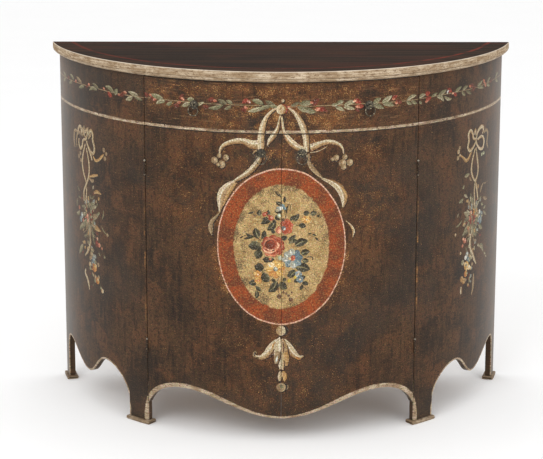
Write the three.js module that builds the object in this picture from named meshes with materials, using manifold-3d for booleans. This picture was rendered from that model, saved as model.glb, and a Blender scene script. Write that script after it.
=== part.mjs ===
// A demilune cabinet: a half-round painted cupboard with one bowed drawer over two bent doors.
// Millimetres, +Z up. The origin is on the floor under the middle of the top. The front faces -Y.

import * as THREE from 'three';
import { mergeVertices } from 'three/addons/utils/BufferGeometryUtils.js';
import Module from 'manifold-3d';

const wasm = await Module();
wasm.setup();

// Overall sizes. The plan is the front part of an ellipse whose widest place lies behind the back.
const overallWidth = 1200;
const overallDepth = 530;
const overallHeight = 915;
const planShoulder = 20; // how far the whole ellipse is wider than the top, on each side

// Clearances and the overrun of every cut
const seatGap = 0.3; // between pieces that are fixed to each other
const reveal = 2; // the open joint round the drawer and the doors
const runGap = 0.5; // under and beside what slides
const overrun = 10;

// Top
const topThickness = 17;
const mouldingHeight = 10;
const mouldingOverhang = 17; // from the face of the body to the edge of the top
const mouldingWidth = 33; // how far the moulding runs in over the body
const mouldingSteps = 7;

// Walls, posts and boards
const panelThickness = 16;
const seamArc = 358; // along the face, from the centre line to the joint between door and side panel
const postThickness = 18;
const frontPostWidth = 48;
const rearPostWidth = 34;
const boardThickness = 18;
const backThickness = 14;
const backFoot = 118; // underside of the back boards
const backBoardCount = 3;
const bottomBoardHeight = 140; // underside of the cupboard's floor
const railThickness = 18;
const railWidth = 40;

// Shelf and its cleats
const shelfHeight = 440; // underside of the shelf
const shelfPlay = 2;
const cleatHeight = 20;
const cleatWidth = 42;
const backCleatLength = 440;

// Feet
const padHeight = 9;
const padProud = 7; // all round the foot
const footWidth = 65;
const rearFootWidth = 45;

// Shaped aprons, cut into the lower edges of the side panels and the doors
const footStraight = 50; // where the edge of a foot leaves the vertical
const sideArchHeight = 133;
const sidePendantHeight = 80;
const doorArchHeight = 115;
const doorDropHeight = 56;
const apronSteps = 9;

// Drawer
const drawerFrontHeight = 120.4;
const drawerSideThickness = 12;
const drawerSideHeight = 88;
const drawerBackThickness = 12;
const drawerBackSpace = 36; // from the box to the back boards
const drawerBottomThickness = 6;
const drawerBottomLift = 8; // from the lower edge of the sides to the bottom panel
const grooveDepth = 5;
const guideWidth = 18;
const guideHeight = 20;
const guidePlay = 1.5; // from a guide to the front post beside it

// Butt hinges
const hingeHeight = 37;
const upperHingeDrop = 103; // from the top of the door to the middle of the hinge
const lowerHingeRise = 206; // from the floor to the middle of the hinge
const leafThickness = 1.4;
const leafWidth = 12;
const barrelRadius = 2.6;
const barrelProud = 1.8; // from the face to the middle of the barrel
const barrelRelief = 0.4;
const knuckleGap = 0.3;
const hingePinRadius = 1.2;
const pinClearance = 0.1;
const pinHeadRadius = 1.8;
const pinHeadHeight = 1;
const knuckleCount = 3;

// Ring pulls
const drawerPullArc = 214;
const drawerPullDrop = 58.4; // from the top of the drawer front
const doorPullArc = 48.5;
const doorPullDrop = 45.5; // from the top of the door
const rosetteRadius = 11;
const rosetteRim = 1.3;
const rosetteBead = 2.1;
const rosetteHollow = 1.6;
const rosetteBoss = 3.2;
const shankRadius = 2;
const shankDepth = 12;
const eyeProud = 7; // from the face to the middle of the eye
const eyeRadius = 3.6;
const eyeThickness = 3.2;
const eyeHoleRadius = 1.9;
const ringRadius = 12.6; // to the middle of the wire
const ringWireRadius = 1.3;

// Magnetic catches under the rail board
const catchWidth = 40;
const catchDepth = 14;
const catchHeight = 12;

// Fineness of the curves
const facesPerQuarter = 36;
const roundSides = 20;
const ringSides = 32;
const arcTableSteps = 720;

// Heights that follow
const mouldingTop = overallHeight - topThickness - seatGap;
const mouldingFoot = mouldingTop - mouldingHeight;
const carcaseTop = mouldingFoot - seatGap;
const legFoot = padHeight + seatGap;
const panelArc = seamArc + reveal / 2;
const drawerTop = carcaseTop - reveal;
const drawerFoot = drawerTop - drawerFrontHeight;
const doorTop = drawerFoot - reveal;
const railBoardTop = drawerFoot - reveal / 2;
const railBoardUnderside = railBoardTop - boardThickness;

// Plan that follows
const backY = overallDepth / 2;
const ellipseHalfWidth = overallWidth / 2 + planShoulder;
const widthShare = overallWidth / 2 / ellipseHalfWidth;
const ellipseHalfDepth = overallDepth / (1 - Math.sqrt(1 - widthShare ** 2));
const ellipseCentreY = ellipseHalfDepth - overallDepth / 2;
const postInset = panelThickness + seatGap;
const postInnerInset = postInset + postThickness;
const backInnerY = backY - backThickness;
const boardBackY = backInnerY - seatGap;

// The plan. A turn is the ellipse's own angle, zero at the middle of the front and positive to the right.
// An inset is counted from the face of the body, inwards, square to the face.

function outwardAt(turn) {
  const x = ellipseHalfDepth * Math.sin(turn);
  const y = -ellipseHalfWidth * Math.cos(turn);
  return new THREE.Vector2(x, y).normalize();
}

function planPoint(turn, inset) {
  const x = ellipseHalfWidth * Math.sin(turn);
  const y = ellipseCentreY - ellipseHalfDepth * Math.cos(turn);
  const inward = inset + mouldingOverhang;
  return new THREE.Vector2(x, y).addScaledVector(outwardAt(turn), -inward);
}

// The turn between the centre line and the widest place where a rising measure reaches a value.
function turnWhere(measure, value) {
  let low = 0;
  let high = Math.PI / 2;
  for (let step = 0; step < arcTableSteps; step += 1) {
    const middle = (low + high) / 2;
    if (middle === low || middle === high) {
      break;
    }
    if (measure(middle) < value) {
      low = middle;
    } else {
      high = middle;
    }
  }
  return (low + high) / 2;
}

const turnAtY = (y, inset) => turnWhere((turn) => planPoint(turn, inset).y, y);
const turnAtX = (x, inset) => turnWhere((turn) => planPoint(turn, inset).x, x);

// Length of the face from the centre line, for turns a fixed step apart
const arcTable = [0];
for (let step = 1; step <= arcTableSteps; step += 1) {
  const before = planPoint((Math.PI / 2) * ((step - 1) / arcTableSteps), 0);
  const after = planPoint((Math.PI / 2) * (step / arcTableSteps), 0);
  arcTable.push(arcTable[step - 1] + before.distanceTo(after));
}

function arcAtTurn(turn) {
  const place = (turn / (Math.PI / 2)) * arcTableSteps;
  const step = Math.min(Math.floor(place), arcTableSteps - 1);
  return arcTable[step] + (place - step) * (arcTable[step + 1] - arcTable[step]);
}

function turnAtArc(arc) {
  return Math.sign(arc) * turnWhere(arcAtTurn, Math.abs(arc));
}

const backArc = arcAtTurn(turnAtY(backY, 0));
const guideOuterX = planPoint(turnAtArc(panelArc), postInnerInset).x - guidePlay;
const drawerHalfWidth = guideOuterX - guideWidth - 2 * runGap;

// An end of a bent piece is a rule that gives its turn at each inset.
const endAtArc = (arc) => () => turnAtArc(arc);
const endAtBack = (side) => (inset) => side * turnAtY(backY, inset);

function gridTurns(low, high) {
  const step = Math.PI / 2 / facesPerQuarter;
  const turns = [];
  for (let index = -facesPerQuarter; index <= facesPerQuarter; index += 1) {
    const turn = index * step;
    if (turn > low + step / 3 && turn < high - step / 3) {
      turns.push(turn);
    }
  }
  return turns;
}

// Solids from surfaces

function facingOut(geometry) {
  const position = geometry.getAttribute('position');
  const index = geometry.getIndex();
  const corners = [new THREE.Vector3(), new THREE.Vector3(), new THREE.Vector3()];
  let volume = 0;
  for (let face = 0; face < index.count; face += 3) {
    corners.forEach((corner, k) => corner.fromBufferAttribute(position, index.getX(face + k)));
    volume += corners[0].dot(corners[1].cross(corners[2]));
  }
  if (volume < 0) {
    geometry.setIndex([...index.array].reverse());
  }
  return geometry;
}

// Joins rings of points, all in the order of one outline, into a closed solid with flat ends.
function skin(rings, outline) {
  const count = outline.length;
  const faces = [];
  for (let ring = 0; ring + 1 < rings.length; ring += 1) {
    for (let k = 0; k < count; k += 1) {
      const here = ring * count + k;
      const next = ring * count + ((k + 1) % count);
      faces.push(here, next, next + count, here, next + count, here + count);
    }
  }
  const last = (rings.length - 1) * count;
  for (const [a, b, c] of THREE.ShapeUtils.triangulateShape(outline, [])) {
    faces.push(c, b, a, last + a, last + b, last + c);
  }
  const geometry = new THREE.BufferGeometry();
  const positions = rings.flat().flatMap((point) => point.toArray());
  geometry.setAttribute('position', new THREE.Float32BufferAttribute(positions, 3));
  geometry.setIndex(faces);
  return facingOut(geometry);
}

// A section of insets and heights, carried round the face from one end to the other.
function bentSolid(section, start, end) {
  const outline = THREE.ShapeUtils.isClockWise(section) ? [...section].reverse() : section;
  const starts = outline.map((point) => start(point.x));
  const ends = outline.map((point) => end(point.x));
  const between = gridTurns(Math.max(...starts), Math.min(...ends));
  const ringTurns = [starts, ...between.map((turn) => outline.map(() => turn)), ends];
  const rings = ringTurns.map((turns) => outline.map((point, k) => {
    const place = planPoint(turns[k], point.x);
    return new THREE.Vector3(place.x, place.y, point.y);
  }));
  return skin(rings, outline);
}

function boardSection(outerInset, innerInset, low, high) {
  return [
    new THREE.Vector2(outerInset, low),
    new THREE.Vector2(innerInset, low),
    new THREE.Vector2(innerInset, high),
    new THREE.Vector2(outerInset, high),
  ];
}

// What a saw takes away below an edge line of arcs and heights, through the whole thickness of a panel.
function apronCut(edgeLine, side, low) {
  const rings = edgeLine.map((point) => {
    const turn = side * turnAtArc(point.x);
    const outer = planPoint(turn, -overrun);
    const inner = planPoint(turn, panelThickness + overrun);
    return [
      new THREE.Vector3(outer.x, outer.y, low),
      new THREE.Vector3(inner.x, inner.y, low),
      new THREE.Vector3(inner.x, inner.y, point.y),
      new THREE.Vector3(outer.x, outer.y, point.y),
    ];
  });
  const square = [[0, 0], [1, 0], [1, 1], [0, 1]].map(([x, y]) => new THREE.Vector2(x, y));
  return skin(rings, square);
}

// A flat board with a bowed front at an inset, straight sides at a half width and a straight back.
function bowedBoard(inset, halfWidth, boardBack, low, high) {
  const edgeTurn = turnAtX(halfWidth, inset);
  const points = [-edgeTurn, ...gridTurns(-edgeTurn, edgeTurn), edgeTurn]
    .map((turn) => planPoint(turn, inset));
  points.push(new THREE.Vector2(halfWidth, boardBack));
  points.push(new THREE.Vector2(-halfWidth, boardBack));
  return slab(new THREE.Shape(points), low, high);
}

// A flat board that follows the face all the way to a straight back.
function halfRoundBoard(inset, boardBack, low, high) {
  const edgeTurn = turnAtY(boardBack, inset);
  const points = [-edgeTurn, ...gridTurns(-edgeTurn, edgeTurn), edgeTurn]
    .map((turn) => planPoint(turn, inset));
  return slab(new THREE.Shape(points), low, high);
}

function slab(shape, low, high) {
  const geometry = new THREE.ExtrudeGeometry(shape, { depth: high - low, bevelEnabled: false });
  return geometry.translate(0, 0, low);
}

function block(lowX, highX, lowY, highY, lowZ, highZ) {
  const geometry = new THREE.BoxGeometry(highX - lowX, highY - lowY, highZ - lowZ);
  return geometry.translate((lowX + highX) / 2, (lowY + highY) / 2, (lowZ + highZ) / 2);
}

function toSolid(geometry) {
  const bare = geometry.clone();
  bare.deleteAttribute('normal');
  bare.deleteAttribute('uv');
  const merged = mergeVertices(bare);
  return new wasm.Manifold(new wasm.Mesh({
    numProp: 3,
    vertProperties: merged.getAttribute('position').array,
    triVerts: new Uint32Array(merged.getIndex().array),
  }));
}

function toGeometry(solid) {
  const mesh = solid.getMesh();
  const geometry = new THREE.BufferGeometry();
  geometry.setAttribute('position', new THREE.Float32BufferAttribute(mesh.vertProperties, 3));
  geometry.setIndex([...mesh.triVerts]);
  return geometry;
}

function cut(geometry, cutters) {
  return toGeometry(cutters.reduce((rest, cutter) => rest.subtract(toSolid(cutter)), toSolid(geometry)));
}

function join(geometries) {
  const [first, ...others] = geometries.map(toSolid);
  return toGeometry(others.reduce((whole, piece) => whole.add(piece), first));
}

// Places a drawing made flat on the face: x runs along it to the right, y is up and z points out of it.
function faceFrame(turn, height) {
  const place = planPoint(turn, 0);
  const { x, y } = outwardAt(turn);
  const outward = new THREE.Vector3(x, y, 0);
  const up = new THREE.Vector3(0, 0, 1);
  const along = new THREE.Vector3().crossVectors(up, outward);
  const frame = new THREE.Matrix4().makeBasis(along, up, outward);
  return frame.setPosition(place.x, place.y, height);
}

// Materials
const finish = (color, roughness, metalness) =>
  new THREE.MeshStandardMaterial({ color, roughness, metalness });
const finishes = {
  darkPaint: () => finish(0x46382b, 0.6, 0),
  topPaint: () => finish(0x33261f, 0.45, 0),
  palePaint: () => finish(0xc4b28e, 0.7, 0),
  rawWood: () => finish(0x8a6a45, 0.8, 0),
  darkWood: () => finish(0x3a2b20, 0.8, 0),
  iron: () => finish(0x3b3833, 0.5, 0.8),
  brass: () => finish(0x8a6d3a, 0.45, 0.8),
};

const cabinet = new THREE.Group();

function addPiece(name, geometry, paint, frame = new THREE.Matrix4()) {
  const mesh = new THREE.Mesh(geometry, finishes[paint]());
  mesh.name = name;
  mesh.applyMatrix4(frame);
  cabinet.add(mesh);
}

const sides = [
  { side: -1, word: 'left' },
  { side: 1, word: 'right' },
];

// A span of arcs on one side of the cabinet, as the two ends of a bent piece.
function spanOnSide(side, lowArc, highArc) {
  return side > 0
    ? [endAtArc(lowArc), endAtArc(highArc)]
    : [endAtArc(-highArc), endAtArc(-lowArc)];
}

function spanToBack(side, lowArc) {
  return side > 0
    ? [endAtArc(lowArc), endAtBack(1)]
    : [endAtBack(-1), endAtArc(-lowArc)];
}

// Edge lines of the aprons

function curvePoints(from, firstHandle, secondHandle, to) {
  const curve = new THREE.CubicBezierCurve(from, firstHandle, secondHandle, to);
  return curve.getPoints(apronSteps);
}

function joinedLine(pieces) {
  return pieces.flatMap((piece, k) => (k === 0 ? piece : piece.slice(1)));
}

// Two arches with a pendant between them, from the front foot to the rear foot.
function sideApronLine() {
  const start = panelArc + footWidth;
  const span = backArc - rearFootWidth - start;
  const at = (share, height) => new THREE.Vector2(start + span * share, height);
  const spring = at(0, footStraight);
  const frontHeight = footStraight + (sideArchHeight - footStraight) * 0.42;
  const frontArch = at(0.263, sideArchHeight);
  const pendant = at(0.51, sidePendantHeight);
  const rearArch = at(0.898, sideArchHeight);
  const rearSpring = at(1, sidePendantHeight);
  const rearHeight = sidePendantHeight + (sideArchHeight - sidePendantHeight) * 0.66;
  return joinedLine([
    curvePoints(spring, at(0.005, frontHeight), at(0.115, sideArchHeight), frontArch),
    curvePoints(frontArch, at(0.37, sideArchHeight), at(0.41, sidePendantHeight), pendant),
    curvePoints(pendant, at(0.64, sidePendantHeight), at(0.762, sideArchHeight), rearArch),
    curvePoints(rearArch, at(0.979, sideArchHeight), at(1, rearHeight), rearSpring),
  ]);
}

// One long arch on each door, from a horn beside the foot down to the drop at the meeting edge.
function doorApronLine() {
  const at = (share, height) => new THREE.Vector2(seamArc * share, height);
  const drop = at(0, doorDropHeight);
  const arch = at(0.698, doorArchHeight);
  const horn = at(1, doorDropHeight);
  const hornHeight = doorDropHeight + (doorArchHeight - doorDropHeight) * 0.61;
  return joinedLine([
    curvePoints(drop, at(0.265, doorDropHeight), at(0.461, doorArchHeight), arch),
    curvePoints(arch, at(0.844, doorArchHeight), at(0.955, hornHeight), horn),
  ]);
}

// Hinges, drawn on the face at the seam. Towards is 1 on the panel's side of the barrel in drawing x.

const leafEdge = reveal / 2;
const leafFront = barrelProud - barrelRadius - knuckleGap;
const knuckleHeight = (hingeHeight - (knuckleCount - 1) * knuckleGap) / knuckleCount;

function barrelRound(radius, low, high) {
  const geometry = new THREE.CylinderGeometry(radius, radius, high - low, roundSides);
  return geometry.translate(0, (low + high) / 2, barrelProud);
}

function leafPlate(towards, low, high, inner, outer) {
  const near = towards * leafEdge;
  const far = towards * (leafEdge + leafThickness);
  return block(Math.min(near, far), Math.max(near, far), low, high, inner, outer);
}

// A leaf with its share of the knuckles, every second one from the first.
function hingeLeaf(towards, firstKnuckle) {
  const half = hingeHeight / 2;
  const pieces = [leafPlate(towards, -half, half, -leafWidth, leafFront)];
  for (let knuckle = firstKnuckle; knuckle < knuckleCount; knuckle += 2) {
    const low = -half + knuckle * (knuckleHeight + knuckleGap);
    const high = low + knuckleHeight;
    pieces.push(leafPlate(towards, low, high, leafFront - leafThickness, barrelProud));
    pieces.push(barrelRound(barrelRadius, low, high));
  }
  const bore = barrelRound(hingePinRadius + pinClearance, -half - overrun, half + overrun);
  return cut(join(pieces), [bore]);
}

function hingePin() {
  const head = hingeHeight / 2 + seatGap;
  const profile = [
    new THREE.Vector2(0, -head - pinHeadHeight),
    new THREE.Vector2(pinHeadRadius, -head - pinHeadHeight),
    new THREE.Vector2(pinHeadRadius, -head),
    new THREE.Vector2(hingePinRadius, -head),
    new THREE.Vector2(hingePinRadius, head),
    new THREE.Vector2(pinHeadRadius, head),
    new THREE.Vector2(pinHeadRadius, head + pinHeadHeight),
    new THREE.Vector2(0, head + pinHeadHeight),
  ];
  return new THREE.LatheGeometry(profile, roundSides).translate(0, 0, barrelProud);
}

// The mortise for a leaf, and room for the barrel at the edge of the wood.
function hingeMortise(towards) {
  const half = hingeHeight / 2 + seatGap;
  const near = towards * (leafEdge - overrun);
  const far = towards * (leafEdge + leafThickness + seatGap);
  const pocket = block(Math.min(near, far), Math.max(near, far), -half, half, -leafWidth - seatGap, overrun);
  const room = barrelRound(barrelRadius + barrelRelief, -half, half);
  return join([pocket, room]);
}

const hingeHeights = [
  { word: 'upper', height: doorTop - upperHingeDrop },
  { word: 'lower', height: lowerHingeRise },
];

function hingeFrame(side, height) {
  return faceFrame(side * turnAtArc(seamArc), height);
}

function hingeCuts(side, towards) {
  return hingeHeights.map(({ height }) => hingeMortise(towards).applyMatrix4(hingeFrame(side, height)));
}

// Ring pulls, drawn on the face with the rosette round the origin

function turned(profile) {
  return new THREE.LatheGeometry(profile, roundSides).rotateX(Math.PI / 2);
}

function rosette() {
  const eyeWay = shankRadius + seatGap;
  return turned([
    new THREE.Vector2(eyeWay, seatGap),
    new THREE.Vector2(rosetteRadius, seatGap),
    new THREE.Vector2(rosetteRadius, rosetteRim),
    new THREE.Vector2(rosetteRadius - rosetteRim, rosetteBead),
    new THREE.Vector2(rosetteRadius - 2 * rosetteRim, rosetteHollow),
    new THREE.Vector2(rosetteRadius / 2, rosetteBoss - rosetteRim / 2),
    new THREE.Vector2(eyeWay, rosetteBoss),
    new THREE.Vector2(eyeWay, seatGap),
  ]);
}

function crossRound(radius, length) {
  return new THREE.CylinderGeometry(radius, radius, length, roundSides)
    .rotateZ(Math.PI / 2)
    .translate(0, 0, eyeProud);
}

function shank(radius, inner, outer) {
  return new THREE.CylinderGeometry(radius, radius, outer - inner, roundSides)
    .rotateX(Math.PI / 2)
    .translate(0, 0, (inner + outer) / 2);
}

function eyeBolt() {
  const whole = join([shank(shankRadius, -shankDepth, eyeProud), crossRound(eyeRadius, eyeThickness)]);
  return cut(whole, [crossRound(eyeHoleRadius, eyeThickness + overrun)]);
}

// The wire rests just above the lower side of the eye's hole.
const ringDrop = eyeHoleRadius - ringWireRadius - seatGap;

function pullRing() {
  return new THREE.TorusGeometry(ringRadius, ringWireRadius, roundSides / 2, ringSides)
    .translate(0, -ringDrop - ringRadius, eyeProud);
}

function pullFrame(side, place) {
  return faceFrame(side * turnAtArc(place.arc), place.height);
}

function pullBore(side, place) {
  return shank(shankRadius + seatGap, -shankDepth - seatGap, overrun).applyMatrix4(pullFrame(side, place));
}

const drawerPull = { word: 'drawer', arc: drawerPullArc, height: drawerTop - drawerPullDrop };
const doorPull = { word: 'door', arc: doorPullArc, height: doorTop - doorPullDrop };

// Top board and the ovolo moulding under its edge

function ovoloSection() {
  const points = [];
  for (let step = 0; step <= mouldingSteps; step += 1) {
    const angle = (Math.PI / 2) * (step / mouldingSteps);
    points.push(new THREE.Vector2(
      -mouldingOverhang * Math.cos(angle),
      mouldingTop - mouldingHeight * Math.sin(angle),
    ));
  }
  points.push(new THREE.Vector2(mouldingWidth, mouldingFoot));
  points.push(new THREE.Vector2(mouldingWidth, mouldingTop));
  return points;
}

function addTop() {
  const board = halfRoundBoard(-mouldingOverhang, backY, mouldingTop + seatGap, overallHeight);
  addPiece('top_board', board, 'topPaint');
  addPiece('top_edge_moulding', bentSolid(ovoloSection(), endAtBack(-1), endAtBack(1)), 'palePaint');
}

// Side panels, posts and foot pads. A post can grow all round, to cut its own seat in a board.

function postSection(growth) {
  const low = bottomBoardHeight - growth;
  return boardSection(postInset - growth, postInnerInset + growth, low, carcaseTop);
}

function frontPost(side, growth) {
  const span = spanOnSide(side, panelArc - growth, panelArc + frontPostWidth + growth);
  return bentSolid(postSection(growth), ...span);
}

function rearPost(side, growth) {
  return bentSolid(postSection(growth), ...spanToBack(side, backArc - rearPostWidth - growth));
}

function addSide({ side, word }) {
  const blank = bentSolid(
    boardSection(0, panelThickness, legFoot, carcaseTop),
    ...spanToBack(side, panelArc),
  );
  const apron = apronCut(sideApronLine(), side, -overrun);
  addPiece(`${word}_side_panel`, cut(blank, [apron, ...hingeCuts(side, side)]), 'darkPaint');
  addPiece(`${word}_front_post`, frontPost(side, 0), 'darkWood');
  addPiece(`${word}_rear_post`, rearPost(side, 0), 'darkWood');

  const padSection = boardSection(-padProud, panelThickness + padProud, 0, padHeight);
  const frontSpan = spanOnSide(side, panelArc - padProud, panelArc + footWidth + padProud);
  addPiece(`${word}_front_foot_pad`, bentSolid(padSection, ...frontSpan), 'palePaint');
  const rearSpan = spanToBack(side, backArc - rearFootWidth - padProud);
  addPiece(`${word}_rear_foot_pad`, bentSolid(padSection, ...rearSpan), 'palePaint');
}

// Flat boards inside the body, notched round the posts

function postCuts() {
  return sides.flatMap(({ side }) => [frontPost(side, seatGap), rearPost(side, seatGap)]);
}

function addBoards() {
  const bottom = halfRoundBoard(postInset, boardBackY, bottomBoardHeight, bottomBoardHeight + boardThickness);
  addPiece('bottom_board', cut(bottom, postCuts()), 'rawWood');
  const railBoard = halfRoundBoard(postInset, boardBackY, railBoardUnderside, railBoardTop);
  addPiece('divider_board', cut(railBoard, postCuts()), 'rawWood');

  const shelfInset = postInnerInset + shelfPlay;
  const shelfTop = shelfHeight + boardThickness;
  addPiece('shelf', halfRoundBoard(shelfInset, boardBackY - shelfPlay, shelfHeight, shelfTop), 'rawWood');
}

function addCleats() {
  const cleatTop = shelfHeight - seatGap;
  const section = boardSection(postInset, postInset + cleatWidth, cleatTop - cleatHeight, cleatTop);
  const lowArc = panelArc + frontPostWidth + seatGap;
  const highArc = backArc - rearPostWidth - seatGap;
  for (const { side, word } of sides) {
    addPiece(`${word}_shelf_cleat`, bentSolid(section, ...spanOnSide(side, lowArc, highArc)), 'rawWood');
  }
  const half = backCleatLength / 2;
  const cleatFront = boardBackY - cleatHeight;
  const back = block(-half, half, cleatFront, boardBackY, cleatTop - cleatHeight, cleatTop);
  addPiece('back_shelf_cleat', back, 'rawWood');
}

// Half the clear width between the rear posts, as far forward as a given place.
function halfBetweenRearPosts(y) {
  return planPoint(turnAtY(y, postInnerInset), postInnerInset).x - seatGap;
}

function addBack() {
  const half = halfBetweenRearPosts(backInnerY);
  const gaps = (backBoardCount - 1) * seatGap;
  const boardWidth = (2 * half - gaps) / backBoardCount;
  const words = ['left', 'centre', 'right'];
  words.forEach((word, k) => {
    const low = -half + k * (boardWidth + seatGap);
    const board = block(low, low + boardWidth, backInnerY, backY, backFoot, mouldingTop);
    addPiece(`${word}_back_board`, board, 'rawWood');
  });
}

function addRails() {
  const frontLow = carcaseTop - railThickness;
  const section = boardSection(postInset, postInset + railWidth, frontLow, carcaseTop);
  const railArc = panelArc - seatGap;
  addPiece('top_front_rail', bentSolid(section, endAtArc(-railArc), endAtArc(railArc)), 'rawWood');
  const railFront = boardBackY - railWidth;
  const half = halfBetweenRearPosts(railFront);
  const backLow = mouldingTop - railThickness;
  addPiece('top_back_rail', block(-half, half, railFront, boardBackY, backLow, mouldingTop), 'rawWood');
}

function addGuides() {
  const near = drawerHalfWidth + 2 * runGap;
  const far = guideOuterX;
  const guideFront = planPoint(turnAtX(far, postInset), postInset).y;
  const low = railBoardTop + seatGap;
  for (const { side, word } of sides) {
    const lowX = Math.min(side * near, side * far);
    const guide = block(lowX, lowX + guideWidth, guideFront, boardBackY, low, low + guideHeight);
    addPiece(`${word}_drawer_guide`, guide, 'rawWood');
  }
}

function addCatches() {
  const front = planPoint(turnAtArc(catchWidth + reveal), postInset).y;
  const high = railBoardUnderside - seatGap;
  for (const { side, word } of sides) {
    const lowX = side > 0 ? reveal : -reveal - catchWidth;
    const body = block(lowX, lowX + catchWidth, front, front + catchDepth, high - catchHeight, high);
    addPiece(`${word}_door_catch`, body, 'iron');
  }
}

// Drawer: a bowed front, two sides, a back, and a bottom held in grooves

const drawerLow = railBoardTop + runGap;
const drawerBackEnd = boardBackY - drawerBackSpace;

function drawerBottom(growth) {
  const low = drawerLow + drawerBottomLift;
  return bowedBoard(
    panelThickness - grooveDepth - growth,
    drawerHalfWidth - drawerSideThickness + grooveDepth + growth,
    drawerBackEnd + growth,
    low - growth,
    low + drawerBottomThickness + growth,
  );
}

function drawerSideBoard(side) {
  const inset = panelThickness + seatGap;
  const outerX = drawerHalfWidth;
  const innerX = drawerHalfWidth - drawerSideThickness;
  const corners = [
    new THREE.Vector2(side * innerX, planPoint(turnAtX(innerX, inset), inset).y),
    new THREE.Vector2(side * outerX, planPoint(turnAtX(outerX, inset), inset).y),
    new THREE.Vector2(side * outerX, drawerBackEnd),
    new THREE.Vector2(side * innerX, drawerBackEnd),
  ];
  return slab(new THREE.Shape(corners), drawerLow, drawerLow + drawerSideHeight);
}

function addDrawer() {
  const groove = drawerBottom(seatGap);
  const frontArc = seamArc - reveal / 2;
  const frontSection = boardSection(0, panelThickness, drawerFoot, drawerTop);
  const front = bentSolid(frontSection, endAtArc(-frontArc), endAtArc(frontArc));
  const bores = sides.map(({ side }) => pullBore(side, drawerPull));
  addPiece('drawer_front', cut(front, [groove, ...bores]), 'darkPaint');
  for (const { side, word } of sides) {
    addPiece(`drawer_${word}_side`, cut(drawerSideBoard(side), [groove]), 'rawWood');
  }
  const inner = drawerHalfWidth - drawerSideThickness - seatGap;
  const backLow = drawerLow + drawerBottomLift + drawerBottomThickness + seatGap;
  const backFront = drawerBackEnd - drawerBackThickness;
  const back = block(-inner, inner, backFront, drawerBackEnd, backLow, drawerLow + drawerSideHeight);
  addPiece('drawer_back', back, 'rawWood');
  addPiece('drawer_bottom', drawerBottom(0), 'rawWood');
}

// Doors, hinges and pulls

function addDoor({ side, word }) {
  const blank = bentSolid(
    boardSection(0, panelThickness, doorDropHeight, doorTop),
    ...spanOnSide(side, reveal / 2, seamArc - reveal / 2),
  );
  const apron = apronCut(doorApronLine(), side, -overrun);
  const cuts = [apron, ...hingeCuts(side, -side), pullBore(side, doorPull)];
  addPiece(`${word}_door`, cut(blank, cuts), 'darkPaint');
}

function addHinges({ side, word }) {
  for (const { word: level, height } of hingeHeights) {
    const frame = hingeFrame(side, height);
    addPiece(`${word}_${level}_hinge_fixed_leaf`, hingeLeaf(side, 0), 'iron', frame);
    addPiece(`${word}_${level}_hinge_door_leaf`, hingeLeaf(-side, 1), 'iron', frame);
    addPiece(`${word}_${level}_hinge_pin`, hingePin(), 'iron', frame);
  }
}

function addPull({ side, word }, place) {
  const frame = pullFrame(side, place);
  const name = `${word}_${place.word}_pull`;
  addPiece(`${name}_rosette`, rosette(), 'brass', frame);
  addPiece(`${name}_eye`, eyeBolt(), 'brass', frame);
  addPiece(`${name}_ring`, pullRing(), 'brass', frame);
}

addTop();
sides.forEach(addSide);
addBoards();
addCleats();
addBack();
addRails();
addGuides();
addCatches();
addDrawer();
sides.forEach(addDoor);
sides.forEach(addHinges);
for (const place of [drawerPull, doorPull]) {
  sides.forEach((which) => addPull(which, place));
}

export default cabinet;
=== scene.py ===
import math

import bpy
import numpy as np
from mathutils import Matrix


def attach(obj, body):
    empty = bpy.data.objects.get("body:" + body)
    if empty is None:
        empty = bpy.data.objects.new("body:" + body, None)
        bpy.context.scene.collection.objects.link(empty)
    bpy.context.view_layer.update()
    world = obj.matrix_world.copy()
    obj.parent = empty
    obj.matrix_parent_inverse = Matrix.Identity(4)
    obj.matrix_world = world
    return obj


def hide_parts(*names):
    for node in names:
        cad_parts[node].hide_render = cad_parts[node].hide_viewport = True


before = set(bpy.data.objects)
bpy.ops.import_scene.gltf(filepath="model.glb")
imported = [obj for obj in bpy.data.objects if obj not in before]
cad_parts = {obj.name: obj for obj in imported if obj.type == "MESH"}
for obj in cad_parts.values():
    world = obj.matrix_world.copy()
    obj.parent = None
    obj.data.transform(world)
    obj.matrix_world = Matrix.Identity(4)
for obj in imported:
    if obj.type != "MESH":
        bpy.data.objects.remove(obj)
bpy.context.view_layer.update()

# Sizes in millimetres, as in the CAD part

WIDTH, DEPTH, HEIGHT = 1200.0, 530.0, 915.0
SHOULDER, OVERHANG = 20.0, 17.0
HALF_WIDE = WIDTH / 2 + SHOULDER
HALF_DEEP = DEPTH / (1 - math.sqrt(1 - (WIDTH / 2 / HALF_WIDE) ** 2))
CENTRE_Y = HALF_DEEP - DEPTH / 2
BACK_Y = DEPTH / 2
THICK = 16.0
ARRIS = 1.2
PLAY = 0.3
SEAM, REVEAL = 358.0, 2.0
FRONT_END, PANEL_START = SEAM - REVEAL / 2, SEAM + REVEAL / 2
TOP_LOW, MOULD_TOP, MOULD_LOW, CASE_TOP = 898.0, 897.7, 887.7, 887.4
DRAWER_LOW, DRAWER_HIGH, DOOR_HIGH = 765.0, 885.4, 763.0
FOOT_LOW, FOOT_WIDE, REAR_FOOT_WIDE = 9.3, 65.0, 45.0
PAD_HIGH, PAD_PROUD, PAD_ROUND = 9.0, 7.0, 3.0
POST_LOW, POST_DEEP, POST_WIDE, REAR_POST_WIDE = 140.0, 18.0, 48.0, 34.0
CLEAT_LOW, CLEAT_HIGH, CLEAT_DEEP = 419.7, 439.7, 42.0
RAIL_HIGH, RAIL_DEEP = 18.0, 40.0

# Heights of the sawn lower edges: beside the foot, top of an arch, bottom of a pendant
SIDE_HORN, SIDE_ARCH, SIDE_DROP = 50, 133, 80
DOOR_HORN, DOOR_ARCH, DOOR_DROP = 56, 115, 56

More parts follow.
